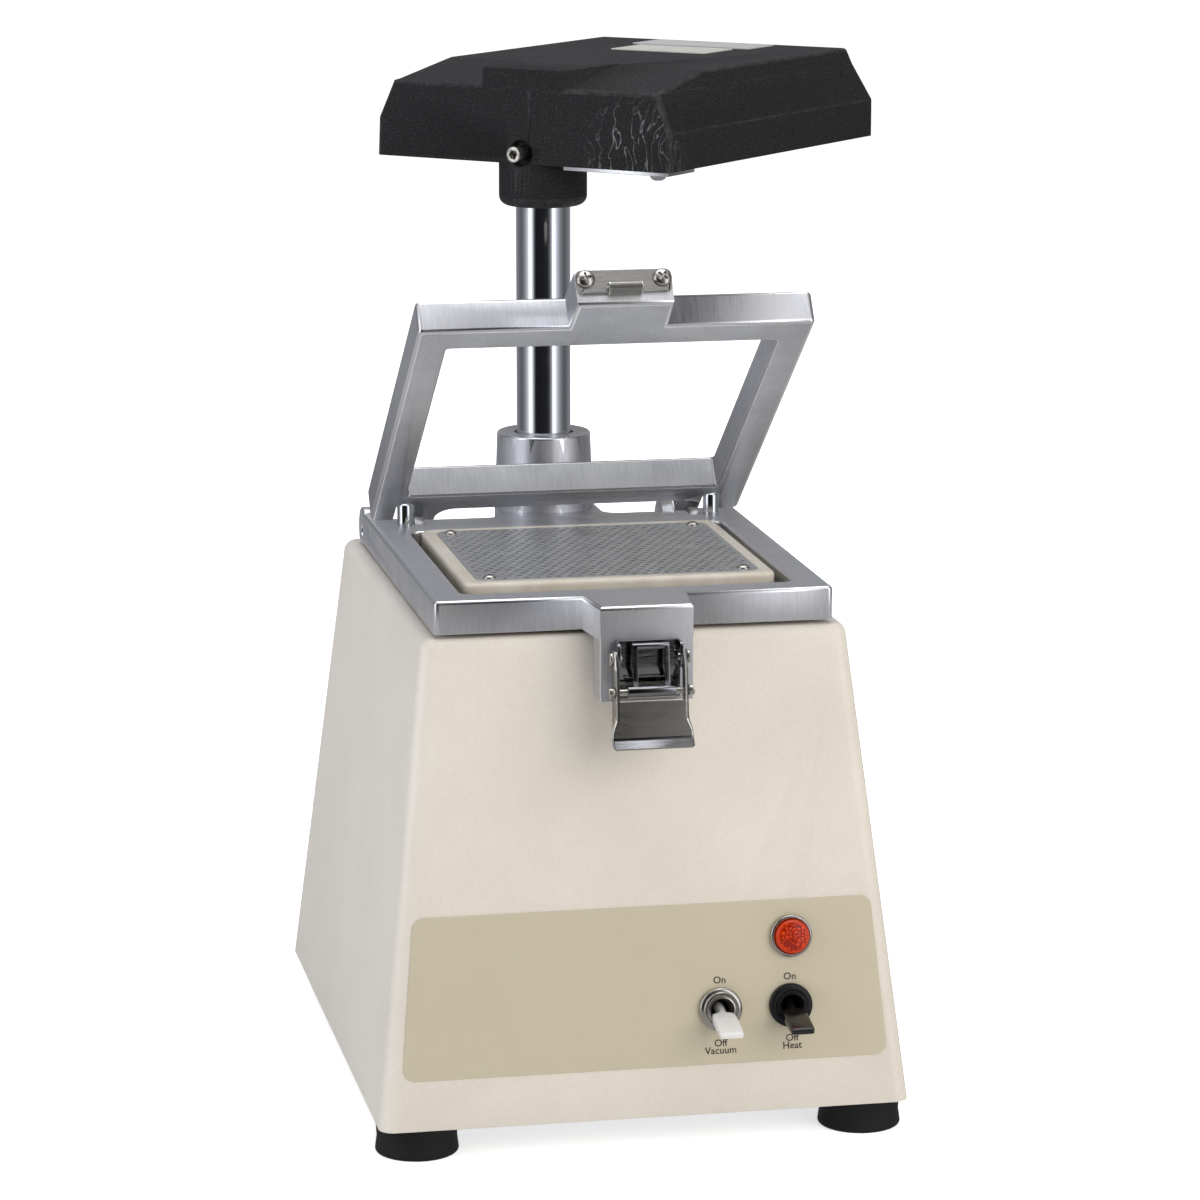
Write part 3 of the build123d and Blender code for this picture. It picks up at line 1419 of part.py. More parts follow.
# ---------------------------------------------------------------- supply cord gland
gland_flange_radius = 10.5
gland_flange_thickness = 3.0
gland_inside = 14.0
gland_outside = 9.0
gland_wall_y = rear_at(gland_z)
with BuildPart() as cord_gland:
    with BuildSketch(Plane.XZ.offset(-(gland_wall_y - gland_inside))):
        with Locations((gland_x, gland_z)):
            Circle(gland_body_radius)
    extrude(amount=-(gland_inside + gland_outside))
    with BuildSketch(Plane.XZ.offset(-(gland_wall_y + 2))):
        with Locations((gland_x, gland_z)):
            Circle(gland_flange_radius)
    extrude(amount=-gland_flange_thickness)
    with BuildSketch(Plane.XZ.offset(-(gland_wall_y - gland_inside))):
        with Locations((gland_x, gland_z)):
            Circle(gland_bore)
    extrude(amount=-(gland_inside + gland_outside), mode=Mode.SUBTRACT)
save(cord_gland, "cord_gland")

# ---------------------------------------------------------------- suction blower
hanger_circle = shell_radius + hanger_gap
shell_top_z = deck_underside_z - blower_gasket
shell_bottom_z = shell_top_z - shell_height
bracket_top_z = shell_bottom_z
bracket_bottom_z = bracket_top_z - bracket_thickness
stator_top_z = bracket_bottom_z - bracket_gap
stator_bottom_z = stator_top_z - stator_height
end_bracket_top_z = stator_bottom_z - bracket_gap
end_bracket_bottom_z = end_bracket_top_z - bracket_thickness
impeller_top_z = shell_top_z - shell_wall - impeller_clearance
impeller_bottom_z = impeller_top_z - impeller_height


def blower_ring(z, outer, inner, height):
    """A round ring about the blower's axis."""
    with BuildPart() as ring:
        with BuildSketch(Plane.XY.offset(z)):
            with Locations((0, blower_y)):
                Circle(outer)
                Circle(inner, mode=Mode.SUBTRACT)
        extrude(amount=height)
    return ring.part


with BuildPart() as blower_seal:
    add(blower_ring(shell_top_z, port_radius + 9, port_radius, blower_gasket))
save(blower_seal, "blower_seal")

with BuildPart() as fan_shell:
    add(blower_ring(shell_bottom_z, shell_radius, shell_radius - shell_wall, shell_height))
    add(blower_ring(shell_top_z - shell_wall, shell_radius, port_radius, shell_wall))
save(fan_shell, "fan_shell")

with BuildPart() as motor_bracket:
    add(blower_ring(bracket_bottom_z, shell_radius, shaft_radius + 1.5, bracket_thickness))
    with Locations((0, blower_y, bracket_bottom_z)):
        with PolarLocations(hanger_circle, 3, start_angle=90):
            Cylinder(hanger_ear_radius, bracket_thickness, align=MIN_Z)
            Cylinder(stud_radius + running_gap, 3 * bracket_thickness, mode=Mode.SUBTRACT)
        with PolarLocations(27, 6):
            Cylinder(6, 3 * bracket_thickness, mode=Mode.SUBTRACT)
    add(blower_ring(bracket_bottom_z - bearing_height, bearing_radius + 3, bearing_radius, bearing_height))
    with Locations((0, blower_y, bracket_bottom_z)):
        with PolarLocations(tie_circle, 4, start_angle=45):
            Cylinder(stud_radius + running_gap, 3 * bracket_thickness, mode=Mode.SUBTRACT)
save(motor_bracket, "motor_bracket")

with BuildPart() as hanger_studs:
    with Locations((0, blower_y, bracket_bottom_z - 6)):
        with PolarLocations(hanger_circle, 3, start_angle=90):
            Cylinder(stud_radius, deck_underside_z - bracket_bottom_z + 6, align=MIN_Z)
            with Locations((0, 0, 6)):
                add(hex_nut(4.6, 3.2, stud_radius - 0.1).moved(Location((0, 0, -3.2))))
save(hanger_studs, "hanger_studs")

with BuildPart() as stator:
    add(blower_ring(stator_bottom_z, stator_radius, stator_bore, stator_height))
    with Locations((0, blower_y, stator_bottom_z)):
        with PolarLocations(tie_circle, 4, start_angle=45):
            Cylinder(stud_radius + running_gap, 3 * stator_height, mode=Mode.SUBTRACT)
save(stator, "stator")

with BuildPart() as end_bracket:
    add(blower_ring(end_bracket_bottom_z, bracket_radius, shaft_radius + 1.5, bracket_thickness))
    add(blower_ring(end_bracket_top_z, bearing_radius + 3, bearing_radius, bearing_height))
    with Locations((0, blower_y, end_bracket_bottom_z)):
        with PolarLocations(tie_circle, 4, start_angle=45):
            Cylinder(stud_radius + running_gap, 3 * bracket_thickness, mode=Mode.SUBTRACT)
        with PolarLocations(27, 4):
            Cylinder(7, 3 * bracket_thickness, mode=Mode.SUBTRACT)
save(end_bracket, "end_bracket")

with BuildPart() as tie_bolts:
    with Locations((0, blower_y, end_bracket_bottom_z)):
        with PolarLocations(tie_circle, 4, start_angle=45):
            Cylinder(stud_radius, bracket_top_z - end_bracket_bottom_z, align=MIN_Z)
            Cylinder(4.2, 3, align=MAX_Z)
save(tie_bolts, "tie_bolts")

brush_length = 18.0
with BuildPart() as brush_holders:
    with Locations((0, blower_y, end_bracket_top_z)):
        for side in (-1, 1):
            with Locations((side * (commutator_radius + seat_gap + brush_length / 2), 0, 0)):
                Box(brush_length, 8, bracket_gap - 2, align=MIN_Z)
        Cylinder(
            bearing_radius + 3 + slip_gap, bearing_height + slip_gap, align=MIN_Z, mode=Mode.SUBTRACT
        )
save(brush_holders, "brush_holders")

with BuildPart() as rotor_bearings:
    for z in (bracket_bottom_z - bearing_height, end_bracket_top_z):
        add(blower_ring(z, bearing_radius - 0.01, shaft_radius + running_gap, bearing_height))
save(rotor_bearings, "rotor_bearings")

with BuildPart() as rotor_shaft:
    with Locations((0, blower_y, end_bracket_top_z - 2)):
        Cylinder(shaft_radius, impeller_top_z - end_bracket_top_z + 2, align=MIN_Z)
save(rotor_shaft, "rotor_shaft")

with BuildPart() as armature:
    add(blower_ring(stator_bottom_z, armature_radius, shaft_radius, stator_height))
save(armature, "armature")

with BuildPart() as commutator:
    add(
        blower_ring(
            stator_bottom_z - bracket_gap + bearing_height + slip_gap,
            commutator_radius,
            shaft_radius,
            bracket_gap - bearing_height - slip_gap,
        )
    )
save(commutator, "commutator")

blade_height = impeller_height - 2 * impeller_sheet
with BuildPart() as impeller:
    add(blower_ring(impeller_bottom_z, impeller_radius, shaft_radius, impeller_sheet))
    add(blower_ring(impeller_top_z - impeller_sheet, impeller_radius, port_radius - 2, impeller_sheet))
    add(blower_ring(impeller_bottom_z, shaft_radius + 4, shaft_radius, impeller_height))
    with BuildSketch(Plane.XY.offset(impeller_bottom_z + impeller_sheet)):
        with Locations((0, blower_y)):
            with PolarLocations((shaft_radius + impeller_radius) / 2 + 4, blade_count):
                Rectangle(impeller_radius - shaft_radius - 12, impeller_sheet)
    extrude(amount=blade_height)
save(impeller, "impeller")
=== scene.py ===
import math

import bmesh
import bpy
from mathutils import Matrix, Vector
from mathutils.geometry import tessellate_polygon


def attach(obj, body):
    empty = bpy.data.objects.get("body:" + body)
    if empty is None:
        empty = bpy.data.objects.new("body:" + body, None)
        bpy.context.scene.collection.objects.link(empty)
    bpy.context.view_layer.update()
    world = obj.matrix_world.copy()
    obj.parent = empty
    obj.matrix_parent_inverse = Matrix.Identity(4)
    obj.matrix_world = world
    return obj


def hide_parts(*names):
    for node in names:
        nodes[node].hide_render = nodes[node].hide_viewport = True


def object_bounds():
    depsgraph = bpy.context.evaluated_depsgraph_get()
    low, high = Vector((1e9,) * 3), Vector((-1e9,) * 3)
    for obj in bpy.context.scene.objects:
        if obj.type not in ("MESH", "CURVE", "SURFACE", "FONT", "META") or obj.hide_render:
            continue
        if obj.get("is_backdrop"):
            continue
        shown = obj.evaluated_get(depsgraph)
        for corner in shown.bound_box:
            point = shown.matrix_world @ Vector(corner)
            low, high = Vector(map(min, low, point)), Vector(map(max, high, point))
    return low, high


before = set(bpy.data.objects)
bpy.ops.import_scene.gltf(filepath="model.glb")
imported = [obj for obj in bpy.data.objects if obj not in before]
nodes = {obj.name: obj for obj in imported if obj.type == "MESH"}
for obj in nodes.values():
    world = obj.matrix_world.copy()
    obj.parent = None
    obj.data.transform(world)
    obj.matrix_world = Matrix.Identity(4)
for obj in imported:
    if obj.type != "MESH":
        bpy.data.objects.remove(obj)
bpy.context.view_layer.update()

# ------------------------------------------------------------------ camera
# The operator's view from a little left of the middle and just above the head of the column.
# A long lens on a square frame, so that the cabinet's taper is hardly exaggerated.


def put_in_scene(name, data):
    """A new object in the scene, at the origin."""
    thing = bpy.data.objects.new(name, data)
    bpy.context.scene.collection.objects.link(thing)
    return thing


def aim(thing, direction):
    """Point a camera or a light along a direction."""
    thing.rotation_mode = "QUATERNION"
    thing.rotation_quaternion = direction.to_track_quat("-Z", "Y")


yaw = math.radians(11.21)
pitch = math.radians(-11.72)
camera_look = Vector((math.sin(yaw) * math.cos(pitch), math.cos(yaw) * math.cos(pitch), math.sin(pitch)))
camera_data = bpy.data.cameras.new("camera")
camera_data.sensor_width = 36.0
camera_data.lens = 133.77
camera = put_in_scene("camera", camera_data)
camera.location = (-0.32998, -1.6739, 0.54424)
aim(camera, camera_look)
bpy.context.scene.camera = camera
bpy.context.scene.view_settings.view_transform = "Standard"

# ------------------------------------------------------------------ bench top and studio light
# A pale bench top that keeps the machine's shadow, under soft boxes at the right front, the left,
# overhead and behind. The surround is white for the camera and through the lens, 0.55 as bright in
# reflections and 0.47 as bright for all other rays.


def linear(hex_colour):
    """An sRGB hex colour as the linear values that Blender's sockets take."""
    channels = [int(hex_colour[i : i + 2], 16) / 255 for i in (1, 3, 5)]
    return tuple(c / 12.92 if c <= 0.04045 else ((c + 0.055) / 1.055) ** 2.4 for c in channels) + (1.0,)


def set_node(tree, node, settings, links):
    """Give a node its settings and incoming links, by socket name or number.

    A colour is a hex string. A link comes from a socket, or from a node's first output in use.
    """
    for name, value in settings.items():
        if isinstance(name, str) and not name[0].isupper():
            setattr(node, name, value)
        else:
            node.inputs[name].default_value = linear(value) if str(value).startswith("#") else value
    for name, source in links.items():
        if isinstance(source, bpy.types.Node):
            source = next(socket for socket in source.outputs if socket.enabled)
        tree.links.new(source, node.inputs[name])
    return node


def add_node(tree, kind, settings=None, links=None):
    """One new node with its settings and links. Its type's prefix is left out in a shader's tree."""
    prefix = "ShaderNode" if tree.type == "SHADER" else ""
    return set_node(tree, tree.nodes.new(prefix + kind), settings or {}, links or {})


def empty_tree(owner):
    """The node tree of a world or a material, without its first nodes."""
    owner.use_nodes = True
    owner.node_tree.nodes.clear()
    return owner.node_tree


def mesh_of(work, name, smooth=False, sharp=None):
    """The mesh of a finished bmesh. A smooth one may keep the edges above an angle sharp."""
    mesh = bpy.data.meshes.new(name)
    work.to_mesh(mesh)
    work.free()
    if smooth:
        for polygon in mesh.polygons:
            polygon.use_smooth = True
    if sharp:
        mesh.set_sharp_from_angle(angle=math.radians(sharp))
    return mesh


def join_rings(work, rings, closed=True):
    """Faces between each ring of vertices, or open row, and the next one."""
    for lower, upper in zip(rings, rings[1:]):
        for k in range(len(lower) if closed else len(lower) - 1):
            after = (k + 1) % len(lower)
            work.faces.new((lower[k], lower[after], upper[after], upper[k]))


world = bpy.data.worlds.new("studio")
bpy.context.scene.world = world
tree = empty_tree(world)
rays = add_node(tree, "LightPath").outputs
seen = add_node(
    tree, "Math", {"operation": "MAXIMUM"}, {0: rays["Is Camera Ray"], 1: rays["Is Transmission Ray"]}
)
mirrored = add_node(tree, "Math", {"operation": "MULTIPLY", 1: 0.55}, {0: rays["Is Glossy Ray"]})
either = add_node(tree, "Math", {"operation": "MAXIMUM"}, {0: seen, 1: mirrored})
strength = add_node(tree, "Math", {"operation": "MAXIMUM", 1: 0.47}, {0: either})
surround = add_node(tree, "Background", {"Color": "#FFFFFF"}, {"Strength": strength})
add_node(tree, "OutputWorld", {}, {"Surface": surround})

# White laminate: a plain pale ground, lifted for the camera, which reflections see as a grey card.
laminate_top = bpy.data.materials.new("white_laminate_bench")
tree = empty_tree(laminate_top)
rays = add_node(tree, "LightPath").outputs
laminate = add_node(tree, "BsdfDiffuse", {"Color": "#F4F4F2"})
glow = add_node(tree, "Emission", {"Color": "#FFFFFF", "Strength": 0.62})
both = add_node(tree, "AddShader", {}, {0: laminate, 1: glow})
card = add_node(tree, "Emission", {"Color": "#FFFFFF", "Strength": 0.42})
lit = add_node(tree, "MixShader", {}, {0: rays["Is Camera Ray"], 1: laminate, 2: both})
surface = add_node(tree, "MixShader", {}, {0: rays["Is Glossy Ray"], 1: lit, 2: card})
add_node(tree, "OutputMaterial", {}, {"Surface": surface})
floor_half = 6.0
floor_corners = [(sx * floor_half, sy * floor_half, 0) for sx, sy in ((-1, -1), (1, -1), (1, 1), (-1, 1))]
floor_mesh = bpy.data.meshes.new("bench_top")
floor_mesh.from_pydata(floor_corners, [], [(0, 1, 2, 3)])
floor_mesh.materials.append(laminate_top)
put_in_scene("bench_top", floor_mesh)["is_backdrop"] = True

soft_boxes = [
    ("key_box", (1.2, -1.9, 1.0), (2.0, 1.5), 29.5, "#FFF8F0"),
    ("left_box", (-2.0, -0.3, 0.7), (1.4, 1.2), 17.5, "#F1F4FF"),
    ("top_box", (0.1, 0.2, 2.1), (1.6, 1.6), 17.0, "#F6F8FF"),
    ("back_box", (0.2, 2.0, 1.2), (1.6, 1.2), 10.0, "#F6F8FF"),
]
target = Vector((0, 0.02, 0.2))
for name, place, size, power, tint in soft_boxes:
    light = bpy.data.lights.new(name, "AREA")
    light.shape = "RECTANGLE"
    light.size, light.size_y = size
    light.energy = power
    light.color = linear(tint)[:3]
    lamp = put_in_scene(name, light)
    lamp.location = place
    aim(lamp, target - Vector(place))

# A ring of studio flags round the machine, which only reflections see. It is black towards the
# operator, with a bright gap at each side of that, so that chrome shows dark and bright bands.
flag_radius = 1.02
flag_bottom = -0.02
flag_top = 1.3
flag_middle_y = 0.11
flag_shades = [
    (-180, 0.34), (-150, 0.30), (-112, 0.14), (-94, 0.17), (-78, 0.40), (-67, 0.80), (-56, 2.2), (-47, 0.95),
    (-37, 0.10), (-30, 0.012), (18, 0.02), (27, 0.08), (36, 0.45), (45, 2.4), (56, 0.95), (67, 0.50),
    (78, 0.28), (89, 0.17), (103, 0.12), (150, 0.30), (180, 0.34),
]
operator_turn = math.degrees(math.atan2(-camera_look.y, -camera_look.x))
work = bmesh.new()
shade_layer = work.verts.layers.float.new("shade")
rows = ([], [])
for turn in range(-180, 181):
    for (start, low), (end, high) in zip(flag_shades, flag_shades[1:]):
        if start <= turn <= end:
            shade = low + (high - low) * (turn - start) / (end - start)
    direction = math.radians(operator_turn + turn)
    x = flag_radius * math.cos(direction)
    y = flag_middle_y + flag_radius * math.sin(direction)
    for row, z in zip(rows, (flag_bottom, flag_top)):
        vert = work.verts.new((x, y, z))
        vert[shade_layer] = shade
        row.append(vert)
join_rings(work, rows, closed=False)
flag_mesh = mesh_of(work, "studio_flags")
# Flag cloth: nothing but the shade that each stretch shows in a reflection.
flag_cloth = bpy.data.materials.new("flag_cloth")
tree = empty_tree(flag_cloth)
shade = add_node(tree, "Attribute", {"attribute_name": "shade"}).outputs["Fac"]
cloth = add_node(tree, "Emission", {"Color": "#F6F8FF"}, {"Strength": shade})
add_node(tree, "OutputMaterial", {}, {"Surface": cloth})
flag_mesh.materials.append(flag_cloth)
flags = put_in_scene("studio_flags", flag_mesh)
flags.visible_camera = False
flags.visible_diffuse = False
flags.visible_transmission = False
flags.visible_volume_scatter = False
flags.visible_shadow = False
flags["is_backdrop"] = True

# ------------------------------------------------------------------ cabinet
# One welded and dressed steel shell that tapers to the deck, with a soft rim and rounded corners.
# Its cream enamel is sprayed over a pebbled primer, so that it has a fine dimpled skin.


def baked(helper):
    """The mesh that a helper object has after its modifiers. The object is removed."""
    mesh = bpy.data.meshes.new_from_object(helper.evaluated_get(bpy.context.evaluated_depsgraph_get()))
    bpy.data.objects.remove(helper)
    return mesh


def rounded_copy(node, radius, segments=2, angle=28.0):
    """A mesh of a solid with its corners rounded, as a cast, pressed or moulded edge is."""
    mesh = nodes[node].data.copy()
    mesh.name = node + "_shape"
    work = bmesh.new()
    work.from_mesh(mesh)
    bmesh.ops.remove_doubles(work, verts=work.verts, dist=0.00001)
    bmesh.ops.dissolve_limit(work, angle_limit=math.radians(0.6), verts=work.verts, edges=work.edges)
    weight = work.edges.layers.float.get("bevel_weight_edge")
    if weight is None:
        weight = work.edges.layers.float.new("bevel_weight_edge")
    for edge in work.edges:
        if len(edge.link_faces) != 2 or not edge.is_convex:
            continue
        if edge.calc_face_angle(0.0) < math.radians(angle):
            continue
        reach = radius * 2.5
        for vert in edge.verts:
            for other in vert.link_edges:
                if other is not edge and other.calc_face_angle(0.0) < math.radians(angle):
                    continue
                reach = min(reach, other.calc_length())
        edge[weight] = min(1.0, 0.4 * reach / radius)
    work.to_mesh(mesh)
    work.free()
    mesh.materials.clear()
    shell = put_in_scene(node + "_shape", mesh)
    bevel = shell.modifiers.new("rounded", "BEVEL")
    bevel.width = radius
    bevel.segments = segments
    bevel.limit_method = "WEIGHT"
    bevel.use_clamp_overlap = False
    bevel.harden_normals = False
    done = baked(shell)
    for polygon in done.polygons:
        polygon.use_smooth = True
    done.set_sharp_from_angle(angle=math.radians(38))
    return done


def fit_piece(name, mesh, material, body, *replaced):
    """Put a finished mesh on its body, in place of the solids that it stands for."""
    mesh.name = name
    mesh.materials.clear()
    mesh.materials.append(material)
    piece = put_in_scene(name, mesh)
    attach(piece, body)
    if replaced:
        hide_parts(*replaced)
    return piece


def start_finish(name, settings):
    """A new finish with its shader's constant values; returns it, its tree, shader and position."""
    finish = bpy.data.materials.new(name)
    finish.use_nodes = True
    tree = finish.node_tree
    shader = set_node(tree, tree.nodes["Principled BSDF"], settings, {})
    return finish, tree, shader, add_node(tree, "TexCoord").outputs["Object"]


# Dimpled cream enamel: a half-gloss skin with millimetre dimples, faintly yellowed and cloudy.
cream_enamel, tree, shader, place = start_finish(
    "pebbled_cream_enamel", {"Roughness": 0.42, "IOR": 1.5, "Coat Weight": 0.12, "Coat Roughness": 0.3}
)
clouds = add_node(tree, "TexNoise", {"Scale": 14.0, "Detail": 4.0, "Roughness": 0.6}, {"Vector": place})
share = add_node(tree, "MapRange", {1: 0.35, 2: 0.7}, {0: clouds})
colour = add_node(tree, "Mix", {"data_type": "RGBA", 6: "#D9D3C9", 7: "#D2CBC0"}, {0: share})
dimples = add_node(tree, "TexNoise", {"Scale": 780.0, "Detail": 2.0, "Roughness": 0.55}, {"Vector": place})
speck = add_node(tree, "MapRange", {1: 0.3, 2: 0.7, 3: 0.965, 4: 1.015}, {0: dimples})
speckled = add_node(
    tree, "Mix", {"data_type": "RGBA", "blend_type": "MULTIPLY", 0: 1.0}, {6: colour, 7: speck}
)
skin = add_node(tree, "Bump", {"Strength": 0.22, "Distance": 0.00015}, {"Height": dimples})
set_node(tree, shader, {}, {"Base Color": speckled, "Normal": skin})
fit_piece("cabinet_shell", rounded_copy("housing", 0.0005), cream_enamel, "base", "housing")

# ------------------------------------------------------------------ base plate, feet and foot screws
# A zinc-plated steel sheet with exhaust slots closes the cabinet, on four moulded rubber feet.
# Each foot is waisted and held by a pan-head screw sunk in its middle.


def mottled_finish(
    name, constants, texture, tones,
    output="Fac", stretch=None, span=None, dull=None, grain=None, relief=None,
):
    """A finish that one texture, given as its kind and settings, varies between two tones.

    span is the part of the texture's range between the tones, dull maps it to roughness, and relief
    is a bump's strength and depth, from a finer noise where grain gives one. stretch scales each axis.
    """
    finish, tree, shader, place = start_finish(name, constants)
    if stretch:
        place = add_node(tree, "Mapping", {"Scale": stretch}, {"Vector": place})
    kind, settings = texture
    pattern = add_node(tree, "Tex" + kind, settings, {"Vector": place}).outputs[output]
    if tones:
        share = add_node(tree, "MapRange", {1: span[0], 2: span[1]}, {0: pattern}) if span else pattern
        tone = add_node(tree, "Mix", {"data_type": "RGBA", 6: tones[0], 7: tones[1]}, {0: share})
        set_node(tree, shader, {}, {"Base Color": tone})
    if dull:
        dullness = add_node(tree, "MapRange", dull, {0: pattern})
        set_node(tree, shader, {}, {"Roughness": dullness})
    if relief:
        height = add_node(tree, "TexNoise", grain, {"Vector": place}) if grain else pattern
        bump = {"Strength": relief[0], "Distance": relief[1]}
        skin = add_node(tree, "Bump", bump, {"Height": height})
        set_node(tree, shader, {}, {"Normal": skin})
    return finish


# Zinc plating: soft bluish metal with a faint spangle of crystals 6 mm across.
zinc_plate = mottled_finish(
    "zinc_plated_steel", {"Metallic": 1.0}, ("Voronoi", {"Scale": 160.0}), ("#A9ADB1", "#C3C6C9"),
    output="Color", dull={3: 0.3, 4: 0.46},
)

# Moulded black rubber: matt, with a fine mould grain and a grey bloom.
foot_rubber = mottled_finish(
    "moulded_black_rubber", {"Roughness": 0.7, "IOR": 1.4}, ("Noise", {"Scale": 120.0, "Detail": 5.0}),
    ("#080808", "#101010"), grain={"Scale": 1400.0, "Detail": 2.0}, relief=(0.3, 0.0001),
)


def finish_solids(finish, *names):
    """Give solids that keep their own mesh their finish."""
    for name in names:
        mesh = nodes[name].data
        mesh.materials.clear()
        mesh.materials.append(finish)


finish_solids(zinc_plate, "base_plate")
fit_piece("rubber_feet", rounded_copy("feet", 0.0006, 3), foot_rubber, "base", "feet")


def turned_mesh(name, profile, steps):
    """A mesh turned from a profile of (radius, height) pairs about Z, closed at both ends."""
    work = bmesh.new()
    turns = [2 * math.pi * k / steps for k in range(steps)]
    rings = []
    for radius, height in profile:
        spots = [(radius * math.cos(turn), radius * math.sin(turn), height) for turn in turns]
        if radius < 1e-6:
            spots = [(0, 0, height)]
        rings.append([work.verts.new(spot) for spot in spots])
    for lower, upper in zip(rings, rings[1:]):
        if len(lower) == len(upper):
            join_rings(work, [lower, upper])
            continue
        for k in range(steps):
            after = (k + 1) % steps
            if len(lower) == 1:
                work.faces.new((lower[0], upper[after], upper[k]))
            else:
                work.faces.new((lower[k], lower[after], upper[0]))
    bmesh.ops.recalc_face_normals(work, faces=work.faces)
    return mesh_of(work, name, smooth=True, sharp=38)


def cross_head_screw(head_radius, head_height, shank_radius, shank_length):
    """A pan-head screw along Z with a cross recess cut into its crown, its seat at the origin."""
    crown = [(0, head_height)]
    for share in (0.3, 0.55, 0.75, 0.9, 0.98):
        crown.append((head_radius * share, head_height * math.sqrt(1 - share**2.6)))
    profile = [(0, -shank_length), (shank_radius, -shank_length), (shank_radius, 0), (head_radius, 0)]
    profile += [(head_radius, head_height * 0.12)] + crown[::-1]
    body = put_in_scene("screw", turned_mesh("screw", profile, 24))
    work = bmesh.new()
    blade = Matrix.Translation((0, 0, head_height * 0.85)) @ Matrix.Diagonal(
        (head_radius * 1.15, head_radius * 0.24, head_height * 0.9, 1)
    )
    for turn in (0, math.pi / 2):
        bmesh.ops.create_cube(work, size=1.0, matrix=Matrix.Rotation(turn, 4, "Z") @ blade)
    cutter = put_in_scene("cross", mesh_of(work, "cross"))
    cut = body.modifiers.new("recess", "BOOLEAN")
    cut.operation = "DIFFERENCE"
    cut.object = cutter
    cut.use_self = True
    done = baked(body)
    bpy.data.objects.remove(cutter)
    done.set_sharp_from_angle(angle=math.radians(38))
    return done


def start_group(name, sockets):
    """A Geometry Nodes group with inputs given as (name, type, value); returns it and its inputs."""
    group = bpy.data.node_groups.new(name, "GeometryNodeTree")
    for label, kind, value in sockets:
        socket = group.interface.new_socket(label, in_out="INPUT", socket_type="NodeSocket" + kind)
        if value is not None:
            socket.default_value = value
    group.interface.new_socket("Geometry", in_out="OUTPUT", socket_type="NodeSocketGeometry")
    return group, add_node(group, "NodeGroupInput").outputs


def grown(holder, group, values):
    """The mesh that a Geometry Nodes group makes on a helper object, with some inputs by name."""
    maker = holder.modifiers.new("maker", "NODES")
    maker.node_group = group
    for item in group.interface.items_tree:
        if item.in_out == "INPUT" and item.name in values:
            maker[item.identifier] = values[item.name]
    return baked(holder)


screws, inlet = start_group(
    "set_of_screws",
    [("Geometry", "Geometry", None), ("Screw", "Object", None), ("Finish", "Material", None)],
)
turn = add_node(screws, "GeometryNodeInputNamedAttribute", {"data_type": "FLOAT_VECTOR", 0: "turn"})
screw = add_node(screws, "GeometryNodeObjectInfo", {}, {"Object": inlet["Screw"]}).outputs["Geometry"]
placed = add_node(
    screws, "GeometryNodeInstanceOnPoints", {},
    {"Points": inlet["Geometry"], "Instance": screw, "Rotation": turn},
)
real = add_node(screws, "GeometryNodeRealizeInstances", {}, {"Geometry": placed})
coated = add_node(screws, "GeometryNodeSetMaterial", {}, {"Geometry": real, "Material": inlet["Finish"]})
add_node(screws, "NodeGroupOutput", {}, {"Geometry": coated})


def drive_screws(name, screw_mesh, seats, finish, body, *replaced):
    """Place like fasteners on seats given as (x, y, z, direction, spin) and ride them on a body."""
    points = bpy.data.meshes.new(name + "_seats")
    points.from_pydata([seat[:3] for seat in seats], [], [])
    turns = points.attributes.new("turn", "FLOAT_VECTOR", "POINT")
    for index, seat in enumerate(seats):
        stance = Vector(seat[3]).to_track_quat("Z", "Y").to_matrix() @ Matrix.Rotation(seat[4], 3, "Z")
        turns.data[index].vector = stance.to_euler("XYZ")
    pattern = put_in_scene(name + "_pattern", screw_mesh)
    done = grown(put_in_scene(name + "_seats", points), screws, {"Screw": pattern, "Finish": finish})
    bpy.data.objects.remove(pattern)
    return fit_piece(name, done, finish, body, *replaced)


foot_seats = [(0.0858, -0.0868), (-0.0858, -0.0868), (0.070, 0.118), (-0.070, 0.118)]
drive_screws(
    "foot_fixing_screws", cross_head_screw(0.0042, 0.003, 0.0018, 0.016),
    [(x, y, 0.007, (0, 0, -1), 0.4 + 0.9 * k) for k, (x, y) in enumerate(foot_seats)],
    zinc_plate, "base", "foot_screws",
)

# ------------------------------------------------------------------ control panel film
# A printed polyester film bonded to the sloping front, with rounded corners and bare surrounds.
# Its ground is plain olive beige, with generic words at the switches and no other print.
front_lean = math.atan2(0.024, 0.182)
panel_up = Vector((0, math.sin(front_lean), math.cos(front_lean)))
panel_out = Vector((0, -math.cos(front_lean), math.sin(front_lean)))
panel_origin = Vector((0, -0.103, 0.012))
panel_turn = Matrix((Vector((1, 0, 0)), panel_up, panel_out)).transposed().to_4x4()
vacuum_x = 0.0285
heat_x = 0.0557
switch_up = 0.040
lamp_x = 0.0564
lamp_up = 0.0664
film_back = 0.00002
film_front = 0.0004
words_out = 0.00047


def on_panel(x, up, out):
    """A point given in metres across, up and out from the sloping front face."""
    return panel_origin + Vector((x, 0, 0)) + panel_up * up + panel_out * out


# Printed film: smooth semi-matt polyester over the dimpled enamel, slightly uneven with age.
panel_print = mottled_finish(
    "printed_polyester_film", {"Roughness": 0.34, "IOR": 1.57, "Coat Weight": 0.25, "Coat Roughness": 0.22},
    ("Noise", {"Scale": 22.0, "Detail": 5.0, "Roughness": 0.6}), ("#C0B8A1", "#BAB19A"),
    grain={"Scale": 600.0, "Detail": 2.0}, relief=(0.15, 0.0001),
)


